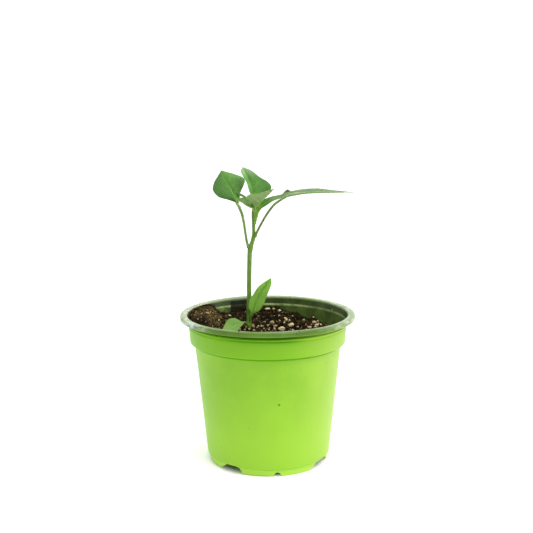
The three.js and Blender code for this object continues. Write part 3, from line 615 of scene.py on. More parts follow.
# corners of the sheet's section: radius, height, how far the corner is rounded
OUTSIDE = [
    (0.0, 5.4, 0), (35.65, 5.4, 0.5), (36.35, 0.0, 0.4), (39.05, 0.0, 0.55), (39.18, 4.05, 0.35),
    (40.55, 4.75, 0.8), (48.10, 77.65, 0.8), (51.05, 79.50, 0.8), (51.808, 89.40, 0), (51.90, 90.60, 0.35), (52.55, 91.00, 0.30),
    (52.72, 91.75, 0.32), (52.22, 92.40, 0.35), (52.65, 96.75, 1.3), (56.65, 96.75, 0.6), (56.65, 94.75, 0.30),
    (57.50, 94.75, 0.32),
]
INSIDE = [
    (57.50, 97.6, 1.25), (52.85, 97.6, 1.1), (51.80, 93.25, 0.4), (51.35, 92.25, 0.4), (50.35, 79.80, 0.6),
    (47.36, 78.25, 0.6), (39.87, 5.65, 0.6), (38.25, 4.70, 0.4), (38.15, 0.8, 0.35), (36.95, 0.8, 0.3),
    (36.30, 6.2, 0.5), (0.0, 6.2, 0),
]


def rounded(corners, steps=4, longest=4.0):
    """The section as points, with rounded corners and no step longer than a few mm."""
    pts, tag = [], []
    n_out = len(OUTSIDE)
    for i, (r, z, fil) in enumerate(corners):
        p = np.array([r, z])
        if fil <= 0:
            new = [p]
        else:
            a, b = np.array(corners[i - 1][:2]) - p, np.array(corners[i + 1][:2]) - p
            la, lb = np.linalg.norm(a), np.linalg.norm(b)
            a, b = a / la, b / lb
            ang = math.acos(np.clip(a @ b, -1, 1))
            cut = min(fil / math.tan(ang / 2), 0.46 * la, 0.46 * lb)
            new = []
            for u in np.linspace(0, 1, steps + 1):
                new.append((1 - u) ** 2 * (p + a * cut) + 2 * u * (1 - u) * p + u * u * (p + b * cut))
        for q in new:
            if pts:
                gap = np.linalg.norm(q - pts[-1])
                m = int(gap // longest)
                for k in range(1, m + 1):
                    pts.append(pts[-1] + (q - pts[-1]) / (m + 2 - k))
                    tag.append(0 if i < n_out else 1)
            pts.append(q)
            tag.append(0 if i < n_out else 1)
    return np.array(pts), np.array(tag)


SEG = 288
section, side = rounded(OUTSIDE + INSIDE)
ang = np.linspace(0, 2 * np.pi, SEG, endpoint=False)
inner = section[1:-1]
R = np.repeat(inner[:, 0][:, None], SEG, 1)
Z = np.repeat(inner[:, 1][:, None], SEG, 1)
A = np.repeat(ang[None, :], len(inner), 0)
# thin sheet: the mouth is a little out of round, the body has a faint low wave, the foot is true
up = smooth(10, 97, Z)
R = R * (1 + up * (0.0018 * np.cos(2 * A + 0.7) + 0.0008 * np.cos(3 * A + 2.1)))
R = R + smooth(8, 30, Z) * (1 - smooth(60, 78, Z)) * 0.10 * noise(xyz(np.cos(A) * 2.2, np.sin(A) * 2.2, Z / 30.0), 5)
Z = Z + smooth(80, 97, Z) * (0.10 * np.cos(2 * A - 0.4) + 0.08 * noise(xyz(np.cos(A) * 3, np.sin(A) * 3), 8) + 0.44 * (0.2 - np.cos(A)) + 0.31 * np.sin(A) + 0.06)
co = np.stack([R * np.sin(A) + 0.40 - 0.0072 * Z, -R * np.cos(A), Z], -1).reshape(-1, 3)
rows = len(inner)
co = np.vstack([co, [0, 0, section[0][1]], [0, 0, section[-1][1]]])
j = np.arange(SEG)
k = (j + 1) % SEG
body = grid_faces(rows, SEG, wrap=True)
low = np.stack([np.full(SEG, rows * SEG), k, j], -1)
top = np.stack([np.full(SEG, rows * SEG + 1), (rows - 1) * SEG + j, (rows - 1) * SEG + k], -1)
# the outside sheet is lime; the inner layer is olive and shows on the lip, right round to its free edge
row_tag = side[1:-1]
height = inner[:, 1]
olive = (row_tag == 1) | ((inner[:, 0] > 57.0) & (height > 94.85))
body_slots = np.repeat(((olive[:-1] & olive[1:])).astype(int), SEG)
# LIME_SHADED is a shaded copy of the lime plastic with almost no specular, painted shade for the rows of the collar's
# underside, the neck under the lip and the crease under the bead
LIME, OLIVE, LIME_SHADED = lime_plastic(), olive_plastic(), lime_plastic("pot_lime_shaded", 0.02)
between = (height[:-1] + height[1:]) / 2
wide = (inner[:-1, 0] + inner[1:, 0]) / 2
under_side = (row_tag[1:] == 0) & (((between > 77.6) & (between < 79.4) & (wide > 48.1)) | ((between > 91.9) & (between < 96.9) & (wide < 56.9) & (wide > 52.0)) | ((between > 89.3) & (between < 91.0) & (wide < 52.3)))
body_slots = np.where(np.repeat(under_side, SEG), 2, body_slots)
pot = build("pot_shell", co, [body, low, top], [LIME, OLIVE, LIME_SHADED],
            slots=np.concatenate([body_slots, np.zeros(SEG, int), np.ones(SEG, int)]))


def cutter(name, outline, inner_r, outer_r):
    """A closed block through the foot ring. outline is a loop of (degrees, height)."""
    n = len(outline)
    ring = []
    for r in (outer_r, inner_r):
        for d, z in outline:
            ring.append([r * math.sin(math.radians(d)), -r * math.cos(math.radians(d)), z])
    me = bpy.data.meshes.new(name)
    faces = [list(range(n)), list(range(2 * n - 1, n - 1, -1))]
    for a in range(n):
        b = (a + 1) % n
        faces.append([b, a, n + a, n + b])
    me.from_pydata([[c * MM for c in p] for p in ring], [], faces)
    me.materials.append(LIME)
    bm = bmesh.new()
    bm.from_mesh(me)
    bmesh.ops.recalc_face_normals(bm, faces=bm.faces)
    bm.to_mesh(me)
    bm.free()
    ob = bpy.data.objects.new(name, me)
    bpy.context.scene.collection.objects.link(ob)
    return ob


def notch_outline(b0, t0, t1, b1, fil=1.1):
    """Foot end, slope up, flat top, slope down; the top corners are rounded."""
    mm_per_deg = math.radians(1) * 39.0
    P = [np.array([b0 * mm_per_deg - (t0 - b0) * mm_per_deg / NOTCH_Z, -1.0]), np.array([t0 * mm_per_deg, NOTCH_Z]),
         np.array([t1 * mm_per_deg, NOTCH_Z]), np.array([b1 * mm_per_deg + (b1 - t1) * mm_per_deg / NOTCH_Z, -1.0])]
    out = [P[0]]
    for i in (1, 2):
        a, b = P[i - 1] - P[i], P[i + 1] - P[i]
        a, b = a / np.linalg.norm(a), b / np.linalg.norm(b)
        for u in np.linspace(0, 1, 7):
            out.append((1 - u) ** 2 * (P[i] + a * fil) + 2 * u * (1 - u) * P[i] + u * u * (P[i] + b * fil))
    out.append(P[3])
    return [(p[0] / mm_per_deg, p[1]) for p in out]


cutters = [cutter(f"notch_{i}", notch_outline(*n), 33.8, 44.5) for i, n in enumerate(NOTCHES)]
for i, a in enumerate(ARCHES):
    arc = [(a - 2.3 / (math.radians(1) * 39) * math.cos(q), 2.65 * math.sin(q)) for q in np.linspace(0, math.pi, 17)]
    cutters.append(cutter(f"arch_{i}", [(arc[0][0], -1.0)] + arc + [(arc[-1][0], -1.0)], 33.8, 42.0))
for c in cutters:
    mod = pot.modifiers.new(c.name, "BOOLEAN")
    mod.operation = "DIFFERENCE"
    mod.solver = "EXACT"
    mod.object = c
bpy.context.view_layer.update()
made = bpy.data.meshes.new_from_object(pot.evaluated_get(bpy.context.evaluated_depsgraph_get()))
pot.modifiers.clear()
pot.data = made
made.name = "pot_shell"
for c in cutters:
    bpy.data.objects.remove(c)
made.set_sharp_from_angle(angle=math.radians(34))


def hill(x, y, cx, cy, sx, sy):
    return np.exp(-(((x - cx) / sx) ** 2 + ((y - cy) / sy) ** 2))


def soil_height(x, y):
    """Level of the potting mix: up to the back wall, heaped at the left, falling away to the right."""
    x, y = np.asarray(x, float), np.asarray(y, float)
    h = 86.2 + 0.075 * np.maximum(0, y + 1) - 0.02 * np.maximum(0, -y - 6)
    h = h - 6.0 * smooth(1, 30, x) * smooth(2, 38, y)
    h = h - 2.2 * smooth(33, 44, x)
    h = h + 1.5 * hill(x, y, 21.5, 46, 4, 5) + 0.9 * hill(x, y, -12, 44, 8, 8) + 3.0 * hill(x, y, 31.3, 38.2, 2.6, 2.6) - 1.7 * hill(x, y, -27.5, 42, 6, 8)
    h = h + (95.6 - h) * (1 - smooth(-40, -29, x)) * smooth(-26, -10, y) * (1 - smooth(33, 38.5, y))
    return h + 0.4 * np.sin(0.55 * x + 0.9) * np.cos(0.48 * y - 0.4) + 0.3 * np.sin(0.83 * x - 0.61 * y)


def mound(x, y):
    return np.clip(hill(np.maximum(x, -43), y, -42, 12, 12, 21) * 1.2, 0, 1)


def soil_surface(x, y):
    """The lumpy top that shows."""
    p = xyz(x, y)
    h = soil_height(x, y)
    m = mound(x, y)
    h = h + (0.9 + 0.5 * m) * fbm(p * 0.16, 3, 11)
    h = h + 0.95 * (0.5 - np.abs(noise(p * 0.31, 21))) + 0.65 * (0.5 - np.abs(noise(p * 0.66, 31)))
    h = h + (0.28 + 0.25 * m) * noise(p * 1.35, 41) + 0.14 * noise(p * 2.9, 51)
    d = np.hypot(x + 12.6, y - 0.2)
    return h - 0.5 * np.exp(-((d - 3.4) / 1.6) ** 2) + 0.7 * np.exp(-(d / 2.3) ** 2)


# dried mix on the inner wall: thick just over the soil, and up the left wall by the heap
pv = np.zeros(len(made.vertices) * 3, np.float32)
made.vertices.foreach_get("co", pv)
pv = pv.reshape(-1, 3) / MM
rr = np.hypot(pv[:, 0], pv[:, 1])
edge = soil_height(pv[:, 0] * 49 / np.maximum(rr, 1), pv[:, 1] * 49 / np.maximum(rr, 1))
over = pv[:, 2] - edge
dirt = 0.75 * np.exp(-np.clip(over, 0, None) / 1.6) + 0.12 * np.exp(-np.clip(over, 0, None) / 7.0)
dirt += 0.95 * (1 - smooth(-42, -35, pv[:, 0])) * smooth(-22, -12, pv[:, 1]) * (1 - smooth(31, 37, pv[:, 1])) * smooth(88, 91, pv[:, 2]) * (1 - smooth(96.2, 97.3, pv[:, 2]))
dirt *= 1 - smooth(52.7, 53.3, rr)  # none on the lip
a = made.attributes.new("dirt", "FLOAT", "POINT")
a.data.foreach_set("value", np.clip(dirt, 0, 1.3).astype(np.float32))

# ------------------------------------------------------------------ potting mix

PEAT = peat("potting_mix_peat")
rings, seg = 128, 320
q = (np.arange(rings) + 1) / rings
a = np.linspace(0, 2 * np.pi, seg, endpoint=False)
wall_r = 50.75
X = wall_r * q[:, None] * np.sin(a)[None, :]
Y = -wall_r * q[:, None] * np.cos(a)[None, :]
H = soil_surface(X, Y)
H = H + smooth(0.965, 1.0, q)[:, None] * (0.35 + 0.5 * noise(xyz(X * 0.4, Y * 0.4), 61))
left_edge = (1 - smooth(-46, -37, X)) * smooth(-24, -12, Y) * (1 - smooth(30, 36, Y))
H = H + smooth(0.88, 1.0, q)[:, None] * left_edge * (1.15 + 0.35 * noise(xyz(X * 0.5, Y * 0.5), 62))
H = np.minimum(H, 97.3)
tone = 0.32 + 0.34 * fbm(xyz(X * 0.14, Y * 0.14), 3, 71) + 0.54 * mound(X, Y)
tone = tone - 0.30 * hill(X, Y, 4, 26, 15, 18) + 0.10 * (H - soil_height(X, Y))
top_co = np.stack([X, Y, H], -1).reshape(-1, 3)
skirt = []
for r, z in ((50.2, 80.3), (47.1, 77.4), (43.6, 42.0), (40.1, 8.0), (38.9, 6.5)):
    skirt.append(np.stack([r * np.sin(a), -r * np.cos(a), np.full(seg, z)], -1))
skirt = np.concatenate(skirt)
co = np.vstack([[[0, 0, float(soil_surface(0, 0))]], top_co, skirt, [[0, 0, 6.5]]])
j = np.arange(seg)
k = (j + 1) % seg
cap = np.stack([np.zeros(seg, int), 1 + j, 1 + k], -1)
body = grid_faces(rings + 5, seg, wrap=True, flip=True, base=1)
base = 1 + (rings + 4) * seg
low = np.stack([np.full(seg, len(co) - 1), base + k, base + j], -1)
tone = np.concatenate([[0.3], tone.ravel(), np.full(len(skirt) + 1, 0.2)])
soil = build("potting_mix_bed", co, [cap, body, low], [PEAT], values={"tone": tone})


def lumps(name, x, y, z, size, tones, material, level=1, squash=(0.55, 1.0), rough=0.26, seed=1, stretch=None):
    """Many small irregular grains as one mesh."""
    rng = np.random.default_rng(seed)
    base_co, base_fa = icosphere(level)
    n, m = len(x), len(base_co)
    scale = rng.uniform(squash[0], squash[1], (n, 1, 3)) * np.asarray(size)[:, None, None]
    if stretch is not None:
        scale[:, :, 0] *= np.asarray(stretch)[:, None]
    shift = rng.uniform(0, 50, (n, 1, 3))
    P = base_co[None] * np.ones((n, 1, 1))
    P = P * (1 + rough * 1.4 * noise(P * 1.3 + shift, seed)[..., None] + rough * 0.6 * noise(P * 3.1 + shift, seed + 1)[..., None])
    P = P * scale
    P = np.einsum("nij,nmj->nmi", rotations(rng, n), P)
    P = P + np.stack([x, y, z], -1)[:, None, :]
    F = (base_fa[None] + (np.arange(n) * m)[:, None, None]).reshape(-1, 3)
    return build(name, P.reshape(-1, 3), [F], [material], values={"tone": np.repeat(tones, m)})


rng = np.random.default_rng(404)


def scatter(n, rmax, keep):
    """n points in the mouth of the pot, thinned by keep(x, y) from 0 to 1."""
    xs, ys = [], []
    while len(xs) < n:
        x, y, t = rng.uniform(-rmax, rmax), rng.uniform(-rmax, rmax), rng.uniform()
        if math.hypot(x, y) < rmax and math.hypot(x + 12.6, y - 0.2) > 2.6 and t < keep(x, y):
            xs.append(x)
            ys.append(y)
    return np.array(xs), np.array(ys)


cx, cy = scatter(1900, 49.6, lambda x, y: 0.55 + 0.45 * float(mound(x, y)) + 0.1 * math.sin(x * 0.6))
size = np.clip(rng.lognormal(-0.38, 0.42, len(cx)), 0.30, 1.9)
size = size * (1 - 0.35 * smooth(44, 49.6, np.hypot(cx, cy)))
tones = np.clip(rng.normal(0.44, 0.27, len(cx)) + 0.46 * mound(cx, cy), -0.1, 1.3)
tones[rng.uniform(size=len(cx)) < 0.09] += 0.6
crumbs = lumps("peat_crumbs", cx, cy, soil_surface(cx, cy) + size * rng.uniform(-0.25, 0.42, len(cx)), size, tones, peat("peat_crumb"), seed=3)

# pale grit: thickest in front and to the right of the stem
gx, gy = scatter(270, 49.0, lambda x, y: 0.24 + 0.35 * float(hill(x, y, -28, 6, 10, 12)) + 0.78 * float(hill(x, y, 8, -1, 22, 13)) + 0.60 * float(hill(x, y, 33, 12, 10, 12)) + 0.25 * float(mound(x, y)))
gs = np.clip(rng.lognormal(-1.15, 0.35, len(gx)), 0.18, 0.55)
CHIPS = np.array([
    (-45.2, -12.4, .59, .6), (-37.6, 14.6, .59, .5), (-38, 28, .55, .6), (-33.2, 11.9, .69, .7), (-28.7, 17.3, .52, .5), (-18.7, -.9, 1.38, .4),
    (-21.1, 4.7, .55, .6), (-7, 3, .62, .6), (-6.4, 7, .55, .7), (-9.3, -3.6, .76, .6), (-14.1, 4.6, .83, .5), (-12.3, -1.9, .69, .4), (-15.3, -3.7, .62, .5),
    (-.1, 8, .83, .5), (-.5, 40, .69, .2), (4.4, 39.5, .69, .4), (4.3, .1, .97, .5), (7.8, 31.5, .66, .3), (8, 17.3, .62, .3), (10.9, 11.6, .69, .6),
    (14.7, 24.7, .62, .5), (17.3, 41.1, .55, .7), (14, -4, .69, .9), (16.3, -3.6, .76, 1.0), (19.9, 5.8, .62, .6), (25.1, 36.5, 1.03, .3),
    (27.4, 2.3, 1.31, .3), (30.8, 28.4, .69, .9), (31.4, 2.8, .69, 1.0), (34.7, 23.7, .76, .8), (35.7, 13.7, .79, 1.0), (29.3, 15.1, .59, .6),
    (-2.7, .8, .62, .5), (.6, -2.3, .59, .5), (-2, 14.5, .52, .4), (-6.4, 28.1, .48, .5), (-7.7, 22.2, .52, .4), (-3.2, 28.9, .45, .5),
    (19, 39.3, .69, .15), (22.6, 6.4, .55, .4), (25.3, -.9, .62, .5), (-27, 7.9, .52, .4), (-39.8, -13.5, .52, .4), (-43.9, .8, .52, .4),
    (-30.9, 25.9, .48, .5), (40.2, 30.6, .52, .3), (31.9, 38.6, .70, 1.2), (34.6, 35.6, .78, 1.2)])
gx, gy = np.concatenate([gx, CHIPS[:, 0]]), np.concatenate([gy, CHIPS[:, 1]])
gs = np.concatenate([gs, CHIPS[:, 2] * 1.12])
PERLITE = perlite()
gt = np.clip(rng.normal(0.5, 0.35, len(gx)), -0.2, 1.2)
gt[-len(CHIPS):] = CHIPS[:, 3]
gz = soil_surface(gx, gy) + gs * 0.45
# one chip stuck high on the right wall
gx, gy, gz = np.append(gx, 44.35), np.append(gy, 26.8), np.append(gz, 93.9)
gs, gt = np.append(gs, 0.62), np.append(gt, 1.3)
grit = lumps("perlite_grit", gx, gy, gz, gs, gt, PERLITE, level=2, seed=9, squash=(0.7, 1.0))

# root hairs and peat fibres
fibre_co, fibre_fa, fibre_tone, count = [], [], [], 0
fx, fy = scatter(420, 49.0, lambda x, y: 0.35 + 0.65 * float(mound(x, y)))
for i, (x, y) in enumerate(zip(fx, fy)):
    m = float(mound(x, y))
    length = rng.uniform(2.5, 6.5) * (1 + 0.5 * m)
    head, rise = rng.uniform(0, 2 * np.pi), rng.uniform(0.0, 0.55) + 0.55 * m * rng.uniform()
    t = np.linspace(0, 1, 7)
    bendy = rng.uniform(-1.4, 1.4)
    P = np.zeros((7, 3))
    P[:, 0] = x + length * (t * math.cos(head) - bendy * 0.3 * t * t * math.sin(head))
    P[:, 1] = y + length * (t * math.sin(head) + bendy * 0.3 * t * t * math.cos(head))
    lift = length * rise * (t - rng.uniform(0.4, 0.9) * t * t)
    inside = np.hypot(P[:, 0], P[:, 1])
    P[:, :2] *= np.minimum(1, 50.0 / np.maximum(inside, 1))[:, None]
    P[:, 2] = soil_surface(P[:, 0], P[:, 1]) * 0.65 + float(soil_surface(x, y)) * 0.35 + 0.25 + lift
    r = rng.uniform(0.07, 0.15) * (1 - 0.6 * t) + 0.02
    c, fa, row = tube(P, r, 4, base=count)
    fibre_co.append(c)
    fibre_fa.append(fa)
    fibre_tone.append(np.full(len(c), np.clip(rng.normal(0.75, 0.25), 0.2, 1.4)))
    count += len(c)
# straws that stand up along the top of the heap and one or two by the wall
for i in range(34):
    if i < 26:
        x, y = rng.uniform(-43.5, -35.5), rng.uniform(19.0, 32.5)
    else:
        x, y = rng.uniform(-31.0, -27.0), rng.uniform(37.0, 41.0)
    if math.hypot(x, y) > 49.6:
        x, y = x * 49.6 / math.hypot(x, y), y * 49.6 / math.hypot(x, y)
    length = rng.uniform(2.2, 4.8) if i < 26 else rng.uniform(1.4, 3.4)
    head, rise, bendy = rng.uniform(0, 2 * np.pi), rng.uniform(0.35, 0.95), rng.uniform(-0.9, 0.9)
    t = np.linspace(0, 1, 9)
    out_ = length * math.sqrt(max(0.05, 1 - rise * rise))
    P = np.zeros((9, 3))
    P[:, 0] = x + out_ * (t * math.cos(head) - bendy * t * t * math.sin(head))
    P[:, 1] = y + out_ * (t * math.sin(head) + bendy * t * t * math.cos(head))
    inside = np.hypot(P[:, 0], P[:, 1])
    P[:, :2] *= np.minimum(1, 50.2 / np.maximum(inside, 1))[:, None]
    P[:, 2] = float(soil_surface(x, y)) - 0.3 + length * rise * (t - 0.35 * t ** 3)
    c, fa, row = tube(P, rng.uniform(0.13, 0.24) * (1 - 0.55 * t) + 0.03, 5, base=count)
    fibre_co.append(c)
    fibre_fa.append(fa)
    fibre_tone.append(np.full(len(c), np.clip(rng.normal(0.62, 0.16), 0.3, 1.1)))
    count += len(c)
quads = np.concatenate([f[0] for f in fibre_fa])
tris = np.concatenate([np.concatenate([f[1], f[2]]) for f in fibre_fa])
fibres = build("peat_fibres", np.vstack(fibre_co), [quads, tris], [peat("peat_fibre")], values={"tone": np.concatenate(fibre_tone)})

# crumbs that stuck to the rim and wall when the pot was filled and watered
sx, sy, sz, ss = [], [], [], []
for i in range(46):
    th = rng.uniform(0, 2 * np.pi)
    kind = rng.uniform()
    if kind < 0.30:
        r, z = rng.uniform(53.0, 56.2), 97.65
    elif kind < 0.8:
        zz = rng.uniform(0.6, 5.0)
        z = float(soil_height(49.5 * math.sin(th), -49.5 * math.cos(th))) + zz
        if z > 96.4:
            continue
        r = (51.35 if z > 93.5 else 50.75 - (92 - z) * 0.083) - 0.05
    else:
        z = rng.uniform(60, 77)
        r = 48.0 - (77.75 - z) * 0.104 + 0.05
    sx.append(r * math.sin(th))
    sy.append(-r * math.cos(th))
    sz.append(z)
    ss.append(rng.uniform(0.16, 0.42) if kind < 0.8 else rng.uniform(0.10, 0.2))
for i in range(130):
    th = math.radians(rng.uniform(-127, -76))  # from the front towards -X
    r = rng.uniform(48.8, 51.6)
    sx.append(r * math.sin(th))
    sy.append(-r * math.cos(th))
    sz.append(rng.uniform(95.4, 97.5) if r > 50.5 else rng.uniform(96.3, 97.6))
    ss.append(rng.uniform(0.25, 0.75))
stuck = lumps("stuck_crumbs", np.array(sx), np.array(sy), np.array(sz), np.array(ss), rng.uniform(0.0, 0.6, len(sx)), peat("stuck_peat"), level=2, seed=15)

# the larger grains, one for each grain in the frame
GRAINS = [
    [8.9, -4.1, 5.6, 3.5, 3.2, 10], [15.1, 6.3, 5.4, 3.3, 2.5, 12], [2.7, 12.3, 3.1, 2.2, 2.4, 0], [-9.8, 4.0, 2.0, 2.6, 2.8, 70],
    [-4.4, 5.7, 2.3, 2.2, 2.4, 40], [12.1, 24.2, 4.7, 2.9, 1.8, -38], [-0.2, 46.8, 4.5, 2.8, 2.0, 8], [4.2, 46.4, 2.0, 1.6, 1.7, 0],
    [8.2, 45.2, 2.6, 1.8, 2.0, 25], [-26.0, 28.9, 3.3, 2.1, 1.3, -30], [32.7, 8.4, 3.5, 2.1, 2.2, 30], [32.2, 31.1, 3.7, 2.3, 2.1, 0],
    [-40.1, 3.6, 3.3, 2.1, 1.6, -15], [5.1, 4.6, 2.9, 1.8, 2.0, 20],
]
ball, ball_fa = icosphere(5)
grains = []
for i, (x, y, ln, wd, ht, turn) in enumerate(GRAINS):
    node = f"perlite_{i + 1:02d}"
    lo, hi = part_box(node)
    mid = (np.array(lo) + np.array(hi)) / 2 / MM
    P = ball * (1 + 0.20 * noise(ball * 1.2 + 7.7 * i, 100 + i)[:, None] + 0.12 * noise(ball * 2.7 + 3.1 * i, 130 + i)[:, None]
                + 0.05 * noise(ball * 6.5 + i, 160 + i)[:, None] + 0.02 * noise(ball * 14.0 + i, 190 + i)[:, None])
    chip = unit(np.random.default_rng(500 + i).normal(size=(5, 3)))
    for c in chip:
        cut = np.random.default_rng(600 + i).uniform(0.62, 0.85)
        d = P @ c
        P = P - np.clip(d - cut, 0, None)[:, None] * c * 0.85
    P = P * np.array([ln, wd, ht]) / 2.2
    t = math.radians(turn)
    P = np.stack([P[:, 0] * math.cos(t) - P[:, 1] * math.sin(t), P[:, 0] * math.sin(t) + P[:, 1] * math.cos(t), P[:, 2]], -1)
    t = math.radians({5: 36, 9: 24, 12: 18, 1: -14}.get(i, 0))  # some lean, right end down
    P = np.stack([P[:, 0] * math.cos(t) + P[:, 2] * math.sin(t), P[:, 1], P[:, 2] * math.cos(t) - P[:, 0] * math.sin(t)], -1)
    drop = mid[2] - float(np.mean(soil_surface(x + np.array([-1, 0, 1]), np.full(3, float(y))))) - 0.32 * ht
    g = build(f"grain_{i + 1:02d}", P + [mid[0], mid[1], mid[2] - max(0.0, min(drop, 1.2))], [ball_fa], [PERLITE],
              values={"tone": np.full(len(P), [0.75, 0.9, 0.35, 0.7, 0.3, 0.6, 0.95, 0.4, 0.85, 0.55, 1.0, 0.8, 0.6, 0.2][i])})
    grains.append((g, node))

# ------------------------------------------------------------------ plant

